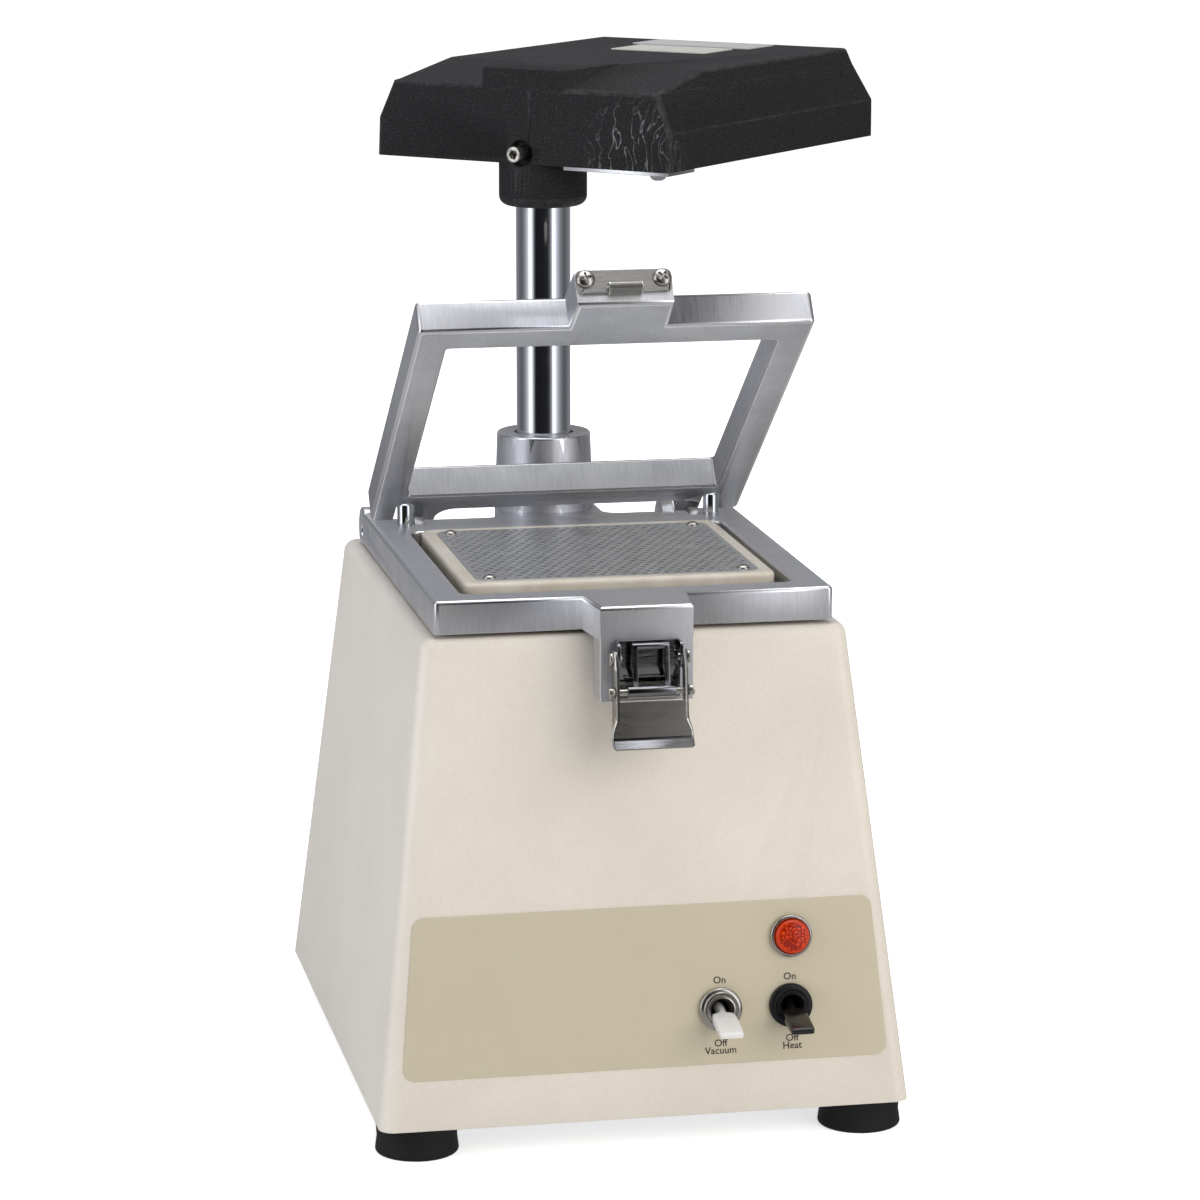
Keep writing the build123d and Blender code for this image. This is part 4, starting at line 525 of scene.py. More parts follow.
def rounded_outline(half_bottom, half_top, bottom, top, radius, steps=8):
    """A four-sided outline as (x, up) points, its corners rounded."""
    corners = [(-half_bottom, bottom), (half_bottom, bottom), (half_top, top), (-half_top, top)]
    points = []
    for k in range(4):
        corner = Vector(corners[k])
        before = (Vector(corners[k - 1]) - corner).normalized()
        after = (Vector(corners[(k + 1) % 4]) - corner).normalized()
        half = before.angle(after) / 2
        middle = corner + (before + after).normalized() * (radius / math.sin(half))
        start = corner + before * (radius / math.tan(half)) - middle
        end = corner + after * (radius / math.tan(half)) - middle
        sweep = math.atan2(start.x * end.y - start.y * end.x, start.dot(end))
        for step in range(steps + 1):
            turn = sweep * step / steps
            points.append(
                (
                    middle.x + start.x * math.cos(turn) - start.y * math.sin(turn),
                    middle.y + start.x * math.sin(turn) + start.y * math.cos(turn),
                )
            )
    return points


work = bmesh.new()
loops = []
for inset, out in ((0.0, film_back), (0.0, 0.0003), (0.0001, 0.00038), (0.0004, film_front)):
    outline = rounded_outline(
        0.0933 - inset, 0.0876 - inset, 0.0190 + inset, 0.0803 - inset, 0.0045 - inset * 0.75
    )
    loops.append([work.verts.new(on_panel(x, up, out)) for x, up in outline])
join_rings(work, loops)
rim_steps = 48
rim_turns = [2 * math.pi * k / rim_steps for k in range(rim_steps)]
film_holes = [(vacuum_x, switch_up, 0.00605), (heat_x, switch_up, 0.00605), (lamp_x, lamp_up, 0.0070)]
rims = [
    [(x + radius * math.cos(turn), up + radius * math.sin(turn)) for turn in rim_turns]
    for x, up, radius in film_holes
]
front = loops[-1] + [work.verts.new(on_panel(x, up, film_front)) for rim in rims for x, up in rim]
back = loops[0] + [work.verts.new(on_panel(x, up, film_back)) for rim in rims for x, up in rim]
for face in tessellate_polygon([[Vector((x, up, 0)) for x, up in loop] for loop in [outline] + rims]):
    work.faces.new([front[k] for k in face])
    work.faces.new([back[k] for k in reversed(face)])
for first in range(len(outline), len(front), rim_steps):
    join_rings(work, [side[first : first + rim_steps] for side in (front, back)])
bmesh.ops.recalc_face_normals(work, faces=work.faces)
fit_piece("panel_film", mesh_of(work, "panel_film"), panel_print, "base", "control_overlay")

# Screen ink: flat dark brown, a touch rougher than the film.
ink = mottled_finish(
    "brown_screen_ink", {"Roughness": 0.4, "IOR": 1.5}, ("Noise", {"Scale": 2500.0, "Detail": 2.0}),
    ("#2E2119", "#3B2C22"),
)
words = [
    ("On", vacuum_x, 0.0497), ("On", heat_x, 0.0497), ("Off", 0.0284, 0.0257), ("Off", 0.0561, 0.0262),
    ("Vacuum", 0.0284, 0.0229), ("Heat", 0.0561, 0.0233),
]
lettering = bmesh.new()
for word, x, up in words:
    text = bpy.data.curves.new("word", "FONT")
    text.body = word
    text.align_x = "CENTER"
    text.size = 0.0038
    text.offset = 0.00004
    text.resolution_u = 3
    flat = baked(put_in_scene("word", text))
    flat.transform(Matrix.Translation(on_panel(x, up, words_out)) @ panel_turn)
    lettering.from_mesh(flat)
    bpy.data.meshes.remove(flat)
fit_piece("panel_words", mesh_of(lettering, "panel_words"), ink, "base")

# ------------------------------------------------------------------ pilot lamp
# A nickelled brass bezel that clamps a moulded orange lens, domed and ribbed inside with facets.
# The lamp's body goes through the front and is held from behind.


def stand_on_panel(mesh, x, up, out):
    """Turn a mesh made about Z so that it stands on the sloping front."""
    mesh.transform(Matrix.Translation(on_panel(x, up, out)) @ panel_turn)
    return mesh


# Nickel plating on small turned parts: bright, slightly warm and nearly smooth.
nickel = mottled_finish(
    "nickel_plated_steel", {"Metallic": 1.0}, ("Noise", {"Scale": 300.0, "Detail": 3.0}),
    ("#C9C5BE", "#B5B1AA"), dull={3: 0.16, 4: 0.3},
)
bezel_profile = [
    (0.00652, 0.0), (0.0081, 0.0), (0.0081, 0.0014), (0.0080, 0.0018), (0.0077, 0.0021), (0.0073, 0.00225),
    (0.0069, 0.0022), (0.00664, 0.0020), (0.00652, 0.0016), (0.00652, 0.0),
]
bezel_mesh = stand_on_panel(turned_mesh("lamp_bezel", bezel_profile, 64), lamp_x, lamp_up, film_front)
fit_piece("lamp_bezel", bezel_mesh, nickel, "base", "pilot_bezel")

# Transparent orange acrylic with small facets moulded inside: deep red, with painted highlights of orange on
# the facets and a faint painted glow.
lens_plastic, tree, shader, place = start_finish(
    "orange_acrylic_lens", {"Roughness": 0.1, "IOR": 1.49, "Emission Color": "#FF3A08"}
)
cells = add_node(
    tree, "TexVoronoi", {"feature": "DISTANCE_TO_EDGE", "Scale": 640.0, "Randomness": 0.7},
    {"Vector": place},
)
cut = add_node(tree, "MapRange", {1: 0.02, 2: 0.3}, {0: cells.outputs["Distance"]})
middle = add_node(tree, "Attribute", {"attribute_name": "facet"}).outputs["Fac"]
shown = add_node(tree, "Mix", {"data_type": "FLOAT", 2: 0.75}, {0: middle, 3: cut})
tone = add_node(tree, "Mix", {"data_type": "RGBA", 6: "#7A1004", 7: "#C43A0A"}, {0: shown})
painted_glow = add_node(tree, "Math", {"operation": "MULTIPLY", 1: 0.1}, {0: shown})
skin = add_node(tree, "Bump", {"Strength": 0.35, "Distance": 0.0003}, {"Height": shown})
set_node(tree, shader, {}, {"Base Color": tone, "Emission Strength": painted_glow, "Normal": skin})
lens_profile = [
    (0.00645, 0.0), (0.00645, 0.0032), (0.0063, 0.0040), (0.0058, 0.0045), (0.0050, 0.0048),
    (0.0040, 0.0050), (0.0026, 0.0052), (0.0012, 0.0053),
]
facet_radius = 0.0052
work = bmesh.new()
facet_layer = work.verts.layers.float.new("facet")
rings = []
for radius, height in lens_profile:
    ring = []
    for k in range(32):
        turn = 2 * math.pi * k / 32
        vert = work.verts.new((radius * math.cos(turn), radius * math.sin(turn), height))
        vert[facet_layer] = 1.0 if radius < facet_radius else 0.0
        ring.append(vert)
    rings.append(ring)
join_rings(work, rings)
crown = work.verts.new((0, 0, 0.0054))
crown[facet_layer] = 1.0
for near, after in zip(rings[-1], rings[-1][1:] + rings[-1][:1]):
    work.faces.new((near, after, crown))
work.faces.new(rings[0][::-1])
lens_mesh = stand_on_panel(mesh_of(work, "lamp_lens", smooth=True), lamp_x, lamp_up, film_front)
fit_piece("lamp_lens", lens_mesh, lens_plastic, "base", "pilot_lens")

# Black moulded phenolic for switch bodies, lamp body and brush holders: hard, smooth, brownish.
phenolic = mottled_finish(
    "black_phenolic_moulding", {"Roughness": 0.32, "IOR": 1.6}, ("Noise", {"Scale": 220.0, "Detail": 4.0}),
    ("#15120F", "#231E19"),
)
finish_solids(phenolic, "pilot_body")

# ------------------------------------------------------------------ switches
# Two bat-handle toggle switches with plated bushings, each held by a round ring nut.
# The vacuum switch has a white paddle and a nickel nut, the heat switch both in black.

# Black oxide on steel: satin, nearly black, worn a little grey.
black_oxide = mottled_finish(
    "black_oxide_steel", {"Metallic": 0.85, "Roughness": 0.4}, ("Noise", {"Scale": 260.0, "Detail": 5.0}),
    ("#1E1E20", "#343437"),
)
nut_profile = [
    (0.00595, 0.0), (0.0083, 0.0), (0.0083, 0.0014), (0.0082, 0.0019), (0.0079, 0.0023), (0.0072, 0.0026),
    (0.0068, 0.0027), (0.0067, 0.0030), (0.0065, 0.0032), (0.0061, 0.0032), (0.00595, 0.0030),
    (0.00595, 0.0),
]
for piece, x, finish in (("vacuum_switch_nut", vacuum_x, nickel), ("heat_switch_nut", heat_x, black_oxide)):
    nut = stand_on_panel(turned_mesh(piece, nut_profile, 96), x, switch_up, film_front)
    fit_piece("round_" + piece, nut, finish, "base", piece)

# The bushings keep the solids' shape, with their necks cut down to the height of the nuts' crowns.
# A sleeve in each neck, with a seal round the lever's stem, is added. Inside a neck all is black.
neck_height = 0.0042
thread_foot = -0.0045
bore_radius = 0.0045
sleeve_profile = [
    (0.0042, 0.0), (0.0050, 0.0030), (0.0052, 0.0041), (0.0051, 0.0045), (0.0048, 0.0046), (0.0046, 0.0044),
    (0.0044, 0.0039), (0.0034, 0.0008), (0.0033, 0.0), (0.0042, 0.0),
]
core = nodes["switch_bodies"].data.copy()
core.materials.clear()
work = bmesh.new()
work.from_mesh(core)
for vert in work.verts:
    height = (vert.co - panel_origin).dot(panel_out)
    if height > neck_height:
        vert.co -= panel_out * (height - neck_height)
for x in (vacuum_x, heat_x):
    sleeve = stand_on_panel(turned_mesh("sleeve", sleeve_profile, 64), x, switch_up, 0.0)
    work.from_mesh(sleeve)
    bpy.data.meshes.remove(sleeve)
work.to_mesh(core)
work.free()
fit_piece("switch_bushings", core, phenolic, "base", "switch_bodies")
core.materials.append(nickel)
core.materials.append(black_oxide)
for polygon in core.polygons:
    offset = polygon.center - panel_origin
    plating, switch_x = (1, vacuum_x) if offset.x < (vacuum_x + heat_x) / 2 else (2, heat_x)
    inside = (
        math.hypot(offset.x - switch_x, offset.dot(panel_up) - switch_up) < bore_radius
        and offset.dot(panel_out) < neck_height
    )
    polygon.material_index = plating if offset.dot(panel_out) > thread_foot and not inside else 0

# Glossy moulded nylon paddles, polished by fingers: a clean white and a near black.
paddle_soil = ("Noise", {"Scale": 260.0, "Detail": 3.0})
white_paddle = mottled_finish(
    "white_glossy_nylon",
    {"Roughness": 0.18, "IOR": 1.53, "Subsurface Weight": 0.12, "Subsurface Scale": 0.002},
    paddle_soil, ("#E2E2E1", "#D6D6D4"),
)
black_paddle = mottled_finish(
    "black_glossy_nylon", {"Roughness": 0.16, "IOR": 1.53}, paddle_soil, ("#131211", "#211F1D")
)
toggle_fall = math.radians(16.5) - front_lean
toggle_out = Vector((0, -math.cos(toggle_fall), -math.sin(toggle_fall)))
toggle_up = Vector((0, -math.sin(toggle_fall), math.cos(toggle_fall)))
bat_root = 0.0078
# Each ring of a paddle as its reach from the pivot, its half width and its half thickness.
paddle_rings = [
    (-0.0020, 0.0009, 0.0009), (-0.0010, 0.0019, 0.0019), (0.0, 0.0022, 0.0022), (0.0040, 0.0021, 0.0020),
    (bat_root, 0.0021, 0.0019), (0.0082, 0.0034, 0.0018), (0.0087, 0.0042, 0.0018), (0.0105, 0.0044, 0.0019),
    (0.0150, 0.0045, 0.0019), (0.0200, 0.0045, 0.0016), (0.0236, 0.00445, 0.0014), (0.0246, 0.0043, 0.0012),
    (0.0251, 0.0041, 0.0009), (0.0253, 0.0037, 0.0006),
]


def paddle_mesh(name, x):
    """A bat paddle lofted from its round pivot ball to its flat, squarer end."""
    pivot = on_panel(x, switch_up, -0.003)
    work = bmesh.new()
    rings = []
    for reach, half_width, half_thick in paddle_rings:
        squareness = 2.0 + 5.0 * max(0.0, min(1.0, (reach - bat_root) / 0.001))
        ring = []
        for k in range(32):
            c = math.cos(2 * math.pi * k / 32)
            s = math.sin(2 * math.pi * k / 32)
            across = math.copysign(abs(c) ** (2 / squareness), c) * half_width
            rise = math.copysign(abs(s) ** (2 / squareness), s) * half_thick
            spot = pivot + toggle_out * reach + toggle_up * rise + Vector((across, 0, 0))
            ring.append(work.verts.new(spot))
        rings.append(ring)
    join_rings(work, rings)
    work.faces.new(rings[0][::-1])
    work.faces.new(rings[-1])
    bmesh.ops.recalc_face_normals(work, faces=work.faces)
    return mesh_of(work, name, smooth=True)


for piece, x, finish, switch in (
    ("white_paddle", vacuum_x, white_paddle, "vacuum"), ("black_paddle", heat_x, black_paddle, "heat")
):
    fit_piece(piece, paddle_mesh(piece, x), finish, switch + "_paddle", switch + "_toggle")

# ------------------------------------------------------------------ column, its foot and washer
# A ground and chromed steel tube, clamped in a cast foot that is screwed to the base plate.
# A nylon washer on the deck takes the carriage when it comes down; the heater's lead climbs inside.
column_y = 0.1107

# Chrome plate: a hard blue-white mirror with the faintest orange peel.
chrome = mottled_finish(
    "chromium_plate", {"Metallic": 1.0, "Base Color": "#E2E4E8"},
    ("Noise", {"Scale": 90.0, "Detail": 4.0, "Roughness": 0.65}), None,
    dull={1: 0.35, 2: 0.75, 3: 0.045, 4: 0.11}, relief=(0.06, 0.0002),
)
tube_profile = [
    (0.0091, 0.014), (0.0111, 0.014), (0.0111, 0.3712), (0.01105, 0.37155), (0.0107, 0.372), (0.0091, 0.372),
    (0.0091, 0.014),
]
tube_mesh = turned_mesh("chromed_column", tube_profile, 128)
tube_mesh.transform(Matrix.Translation((0, column_y, 0)))
fit_piece("chromed_column", tube_mesh, chrome, "base", "column")

# Grey sand-cast iron of the hidden foot: rough and dull.
cast_iron = mottled_finish(
    "sand_cast_iron", {"Roughness": 0.7, "Metallic": 0.4}, ("Noise", {"Scale": 700.0, "Detail": 4.0}),
    ("#3A3A3B", "#575757"), relief=(0.5, 0.0002),
)
finish_solids(cast_iron, "column_foot")
finish_solids(zinc_plate, "column_foot_screws")

# Natural nylon: waxy off-white.
nylon = mottled_finish(
    "natural_nylon", {"Roughness": 0.38, "IOR": 1.53, "Subsurface Weight": 0.15, "Subsurface Scale": 0.002},
    ("Noise", {"Scale": 180.0, "Detail": 3.0}), ("#E9E4D6", "#DAD3C1"),
)
finish_solids(nylon, "seat_washer")

# Silicone-rubber and braid jacket of the heater's lead: matt grey with a 1 mm braid.
lead_braid = mottled_finish(
    "braided_lead_jacket", {"Roughness": 0.75},
    ("Wave", {"bands_direction": "DIAGONAL", "Scale": 160.0, "Distortion": 1.5}), ("#5A5148", "#8A7F70"),
)
finish_solids(lead_braid, "heater_lead")

# ------------------------------------------------------------------ platen and its perforated plate
# A cast block on a rubber gasket, enamelled cream, whose rim frames a perforated metal sheet.
# The sheet is screwed down at its corners over the suction chamber; the model stands on it.

# Smooth cream enamel: a soft gloss, stained darker in patches.
platen_enamel = mottled_finish(
    "smooth_cream_enamel", {"Roughness": 0.36, "IOR": 1.5, "Coat Weight": 0.1, "Coat Roughness": 0.25},
    ("Noise", {"Scale": 60.0, "Detail": 5.0, "Roughness": 0.65}), ("#D8D2C6", "#C6BCAA"), span=(0.4, 0.75),
    grain={"Scale": 900.0, "Detail": 2.0}, relief=(0.2, 0.0001),
)
fit_piece("platen_block", rounded_copy("platen", 0.0003), platen_enamel, "base", "platen")
finish_solids(foot_rubber, "platen_gasket")
finish_solids(zinc_plate, "platen_bolts")

# Nickel-plated perforated sheet: satin metal, scuffed in all directions and dull at the holes.
sheet_metal = mottled_finish(
    "nickel_plated_perforated_sheet", {"Metallic": 1.0},
    ("Noise", {"Scale": 120.0, "Detail": 6.0, "Roughness": 0.7}), ("#B9BABC", "#DCDDDE"),
    dull={3: 0.28, 4: 0.48}, relief=(0.2, 0.00015),
)
sheet_middle = Vector((0, 0.003, 0.2085))
sheet_thick = 0.001
corner_x = 0.0493
corner_y = 0.0453
sheet_sizes = [
    ("Width", 0.1096), ("Depth", 0.1016), ("Corner Radius", 0.006), ("Thickness", sheet_thick),
    ("Hole Radius", 0.00138), ("Column Pitch", 0.00416), ("Row Pitch", 0.00392), ("Screw Clearance", 0.0034),
]
sheet, inlet = start_group(
    "perforated_sheet",
    [("Geometry", "Geometry", None)] + [(name, "Float", size) for name, size in sheet_sizes]
    + [("Columns", "Int", 25), ("Rows", "Int", 12), ("Finish", "Material", None)],
)
centres = add_node(sheet, "GeometryNodeJoinGeometry")
# The rows are staggered: one grid of holes, and another with a row and a column less between them.
row_gap = add_node(sheet, "ShaderNodeMath", {"operation": "MULTIPLY", 1: 2.0}, {0: inlet["Row Pitch"]})
for extra in (1.0, 0.0):
    counts = []
    lengths = []
    for count, pitch in ((inlet["Columns"], inlet["Column Pitch"]), (inlet["Rows"], row_gap)):
        number = add_node(sheet, "ShaderNodeMath", {"operation": "ADD", 1: extra}, {0: count})
        gaps = add_node(sheet, "ShaderNodeMath", {"operation": "SUBTRACT", 1: 1.0}, {0: number})
        counts.append(number)
        lengths.append(add_node(sheet, "ShaderNodeMath", {"operation": "MULTIPLY"}, {0: gaps, 1: pitch}))
    grid = add_node(
        sheet, "GeometryNodeMeshGrid", {},
        {"Size X": lengths[0], "Size Y": lengths[1], "Vertices X": counts[0], "Vertices Y": counts[1]},
    )
    set_node(sheet, centres, {}, {0: grid})
# Holes are left out where the corner screws go.
where = add_node(sheet, "GeometryNodeInputPosition")
folded = add_node(sheet, "ShaderNodeVectorMath", {"operation": "ABSOLUTE"}, {0: where})
screw_gap = add_node(
    sheet, "ShaderNodeVectorMath", {"operation": "DISTANCE", 1: (corner_x, corner_y, 0.0)}, {0: folded}
)
too_near = add_node(
    sheet, "FunctionNodeCompare", {"data_type": "FLOAT", "operation": "LESS_THAN"},
    {0: screw_gap.outputs["Value"], 1: inlet["Screw Clearance"]},
)
kept = add_node(
    sheet, "GeometryNodeDeleteGeometry", {"domain": "POINT"}, {"Geometry": centres, "Selection": too_near}
)
hole_radius = inlet["Hole Radius"]
hole = add_node(sheet, "GeometryNodeCurvePrimitiveCircle", {"Resolution": 12}, {"Radius": hole_radius})
holes = add_node(sheet, "GeometryNodeInstanceOnPoints", {}, {"Points": kept, "Instance": hole})
real = add_node(sheet, "GeometryNodeRealizeInstances", {}, {"Geometry": holes})
edge = add_node(
    sheet, "GeometryNodeCurvePrimitiveQuadrilateral", {}, {"Width": inlet["Width"], "Height": inlet["Depth"]}
)
rounded = add_node(
    sheet, "GeometryNodeFilletCurve", {"mode": "POLY", "Count": 8},
    {"Curve": edge, "Radius": inlet["Corner Radius"]},
)
drawn = add_node(sheet, "GeometryNodeJoinGeometry", {}, {0: real})
set_node(sheet, drawn, {}, {0: rounded})
filled = add_node(sheet, "GeometryNodeFillCurve", {"mode": "TRIANGLES"}, {"Curve": drawn})
thick = add_node(
    sheet, "GeometryNodeExtrudeMesh", {"mode": "FACES", "Individual": False},
    {"Mesh": filled, "Offset Scale": inlet["Thickness"]},
)
under = add_node(sheet, "GeometryNodeFlipFaces", {}, {"Mesh": filled})
closed = add_node(sheet, "GeometryNodeJoinGeometry", {}, {0: thick})
set_node(sheet, closed, {}, {0: under})
welded = add_node(sheet, "GeometryNodeMergeByDistance", {"Distance": 0.000005}, {"Geometry": closed})
single = add_node(sheet, "GeometryNodeRealizeInstances", {}, {"Geometry": welded})
coated = add_node(sheet, "GeometryNodeSetMaterial", {}, {"Geometry": single, "Material": inlet["Finish"]})
add_node(sheet, "NodeGroupOutput", {}, {"Geometry": coated})
blank = put_in_scene("sheet_blank", bpy.data.meshes.new("sheet_blank"))
sheet_mesh = grown(blank, sheet, {"Finish": sheet_metal})
sheet_mesh.transform(Matrix.Translation(sheet_middle))
fit_piece("perforated_sheet", sheet_mesh, sheet_metal, "base", "perforated_plate")
drive_screws(
    "sheet_corner_screws", cross_head_screw(0.0026, 0.0013, 0.0011, 0.004),
    [(sx * corner_x, sheet_middle.y + sy * corner_y, sheet_middle.z + sheet_thick, (0, 0, 1), 0.5 + 0.7 * k)
     for k, (sx, sy) in enumerate(((-1, -1), (1, -1), (1, 1), (-1, 1)))],
    nickel, "base", "plate_screws",
)

# ------------------------------------------------------------------ carriage
# The lower clamp frame and its hub are one aluminium casting, machined and filed bright by hand.
# Bronze bushes slide on the column, a plunger gives drag, and chromed pins stop the upper frame.


def mark_edges(mesh, narrow=0.0010):
    """Mark the narrow faces along rounded edges, which handling rubs bright or bare, and where bare metal
    finishes also get a painted highlight.
    """
    work = bmesh.new()
    work.from_mesh(mesh)
    layer = work.faces.layers.float.new("edge_wear_and_highlight")
    for face in work.faces:
        longest = max(edge.calc_length() for edge in face.edges)
        bent = [edge for edge in face.edges if edge.is_convex and edge.calc_face_angle(0.0) > 0.04]
        if bent and face.calc_area() / longest < narrow:
            face[layer] = 1.0
    work.to_mesh(mesh)
    work.free()
    return mesh


def brushed_metal(name, dark, light, edge, dull, strokes, turn=(0, 0, 0), painted_shade=None):
    """A bare metal with fine strokes, given in lines per metre along each axis, and bright edges, partly
    polished by wear and partly a painted highlight.

    A painted shade darkens it along a direction, from its lit end to its shaded end, down to a factor.
    """
    finish, tree, shader, place = start_finish(name, {"Metallic": 1.0})
    turned = add_node(tree, "Mapping", {"Rotation": turn}, {"Vector": place})
    drawn = add_node(tree, "Mapping", {"Scale": strokes}, {"Vector": turned})
    lines = add_node(tree, "TexNoise", {"Scale": 1.0, "Detail": 4.0, "Roughness": 0.7}, {"Vector": drawn})
    cloudy = {"Scale": 38.0, "Detail": 5.0, "Roughness": 0.62}
    clouds = add_node(tree, "TexNoise", cloudy, {"Vector": place})
    both = add_node(tree, "Math", {"operation": "ADD"}, {0: lines, 1: clouds})
    share = add_node(tree, "MapRange", {1: 0.75, 2: 1.25}, {0: both})
    tone = add_node(tree, "Mix", {"data_type": "RGBA", 6: dark, 7: light}, {0: share})
    # Narrow edge faces get a lighter tone and less roughness: partly wear, partly a painted highlight.
    worn_and_highlit_edge = add_node(tree, "Attribute", {"attribute_name": "edge_wear_and_highlight"}).outputs["Fac"]
    colour = add_node(tree, "Mix", {"data_type": "RGBA", 7: edge}, {0: worn_and_highlit_edge, 6: tone})
    # Painted shade: the colour is multiplied darker along the given direction.
    if painted_shade:
        toward, lit_end, shaded_end, shade = painted_shade
        along = add_node(tree, "VectorMath", {"operation": "DOT_PRODUCT", 1: toward}, {0: place})
        painted_shade_factor = add_node(
            tree, "MapRange", {1: lit_end, 2: shaded_end, 3: 1.0, 4: shade}, {0: along.outputs["Value"]}
        )
        colour = add_node(
            tree, "Mix", {"data_type": "RGBA", "blend_type": "MULTIPLY", 0: 1.0}, {6: colour, 7: painted_shade_factor}
        )
    flat_dull = add_node(tree, "MapRange", {1: 0.75, 2: 1.25, 3: dull + 0.08, 4: dull - 0.06}, {0: both})
    dullness = add_node(tree, "Mix", {"data_type": "FLOAT", 3: 0.24}, {0: worn_and_highlit_edge, 2: flat_dull})
    skin = add_node(tree, "Bump", {"Strength": 0.2, "Distance": 0.0001}, {"Height": lines})
    set_node(tree, shader, {}, {"Base Color": colour, "Roughness": dullness, "Normal": skin})
    return finish


# Filed cast aluminium: soft grey-white metal with near-vertical file strokes 1 mm apart.
filed_aluminium = brushed_metal(
    "filed_cast_aluminium", "#BFC0C4", "#D5D6DA", "#EAEBEE", 0.42, (1100.0, 1100.0, 70.0)
)
carriage_mesh = mark_edges(rounded_copy("lower_frame", 0.0004))
fit_piece("clamp_carriage", carriage_mesh, filed_aluminium, "carriage", "lower_frame")

pin_seat = (0.0632, 0.077, 0.2082)
pin_profile = [
    (0.0, -0.008), (0.0032, -0.008), (0.0032, 0.0078), (0.00308, 0.0083), (0.0028, 0.0087),
    (0.0023, 0.00895), (0.0, 0.009),
]
pin_pair = bmesh.new()
for side in (-1, 1):
    pin = turned_mesh("stop_pin", pin_profile, 48)
    pin.transform(Matrix.Translation((side * pin_seat[0], pin_seat[1], pin_seat[2])))
    pin_pair.from_mesh(pin)
    bpy.data.meshes.remove(pin)
fit_piece("chromed_stop_pins", mesh_of(pin_pair, "stop_pins", smooth=True), chrome, "carriage", "stop_pins")

# Oil-impregnated bronze: warm brown-gold with dark pores.
bronze = mottled_finish(
    "sintered_bronze", {"Metallic": 1.0, "Roughness": 0.38}, ("Voronoi", {"Scale": 1500.0}),
    ("#5B4020", "#B5853F"), output="Distance", span=(0.05, 0.3),
)
finish_solids(bronze, "hub_bushes", "rotor_bearings")
finish_solids(nickel, "drag_plunger")
finish_solids(zinc_plate, "hinge_pins")

# ------------------------------------------------------------------ upper clamp frame
# A second casting, hinged at the rear, that presses the plastic sheet on to the lower frame.
# A steel strike plate with a turned-out lip is screwed to its front lug for the latch to pull on.
open_turn = math.radians(36.2)
hinge = Vector((0, 0.084, 0.2032))
frame_out = Vector((0, math.cos(open_turn), -math.sin(open_turn)))
frame_up = Vector((0, math.sin(open_turn), math.cos(open_turn)))
lug_face = -0.1820


def on_open_frame(x, y, depth):
    """A point on the raised frame, given in metres as it lies when the frame is closed."""
    return hinge + Vector((x, 0, 0)) + frame_out * y + frame_up * depth


# Milled aluminium: paler and finer than the lower casting, with strokes square to the bars.
# Painted shade darkens the frame towards its hinge, down to 0.55 at the rear bar.
milled_aluminium = brushed_metal(
    "milled_cast_aluminium", "#CBCCCF", "#E0E1E4", "#F0F0F2", 0.4, (1300.0, 1300.0, 90.0),
    (open_turn, 0.0, 0.0), (tuple(frame_out), -0.165, -0.07, 0.55),
)
lid_mesh = mark_edges(rounded_copy("upper_frame", 0.0004))
lid = fit_piece("clamp_lid", lid_mesh, milled_aluminium, "clamp_frame", "upper_frame")
# Reflections leave the raised frame out, so that it draws no pale streak down the chromed column.
lid.visible_glossy = False

# Brushed nickel plate on spring steel: a satin grey with soft wipes, and brighter edges that are partly wear
# and partly a painted highlight.
satin_nickel = brushed_metal(
    "satin_nickel_sheet", "#83817D", "#9B9995", "#D2D0CB", 0.32, (160.0, 900.0, 900.0)
)


def pressed_sheet(work, name, thickness, offset, edge, angle=30.0):
    """A bmesh's surface as a sheet of metal with softened edges."""
    holder = put_in_scene(name, mesh_of(work, name))
    thicken = holder.modifiers.new("sheet", "SOLIDIFY")
    thicken.thickness = thickness
    thicken.offset = offset
    soften = holder.modifiers.new("edges", "BEVEL")
    soften.width = edge
    soften.segments = 2
    soften.angle_limit = math.radians(angle)
    return baked(holder)


# The lip leaves the plate, rolls outwards and ends in a curl, given as reach and depth.
lip_roll = [(0.0, 0.00945), (0.0009, 0.0095), (0.0020, 0.0099)]
for step in range(1, 9):
    turn = math.radians(20 * step)
    lip_roll.append((0.0023 + 0.0014 * math.sin(turn), 0.0115 - 0.0014 * math.cos(turn)))
lip = bmesh.new()
rows = []
for reach, depth in lip_roll:
    y = lug_face - 0.0003 - reach
    rows.append([lip.verts.new(on_open_frame(x, y, depth)) for x in (-0.0065, -0.0060, 0.0060, 0.0065)])
join_rings(lip, rows, closed=False)
plate = bmesh.new()
plate.from_mesh(rounded_copy("strike_plate", 0.00025))
plate.from_mesh(pressed_sheet(lip, "lip_sheet", 0.0010, 0.0, 0.0002))
bmesh.ops.recalc_face_normals(plate, faces=plate.faces)
strike_mesh = mesh_of(plate, "strike_lip_plate")
# Its broad faces are shaded flat, and only the narrow ones along its edges smooth.
broad_area = 4e-6
for polygon in strike_mesh.polygons:
    polygon.use_smooth = polygon.area < broad_area
fit_piece("strike_lip_plate", mark_edges(strike_mesh, 0.0004), satin_nickel, "clamp_frame", "strike_plate")
drive_screws(
    "strike_fixing_screws", cross_head_screw(0.0037, 0.0019, 0.0015, 0.0012),
    [(*on_open_frame(side * 0.0146, lug_face - 0.0012, 0.01554), tuple(-frame_out), 0.5 + side * 0.35)
     for side in (-1, 1)],
    nickel, "clamp_frame", "strike_screws",
)

# ------------------------------------------------------------------ draw latch
# Pressed steel, nickel plated: a base riveted to the lower lug, a hanging lever and a wire-like claw.
# Swinging the lever up reaches the claw over the strike plate's lip and pulls the frames together.

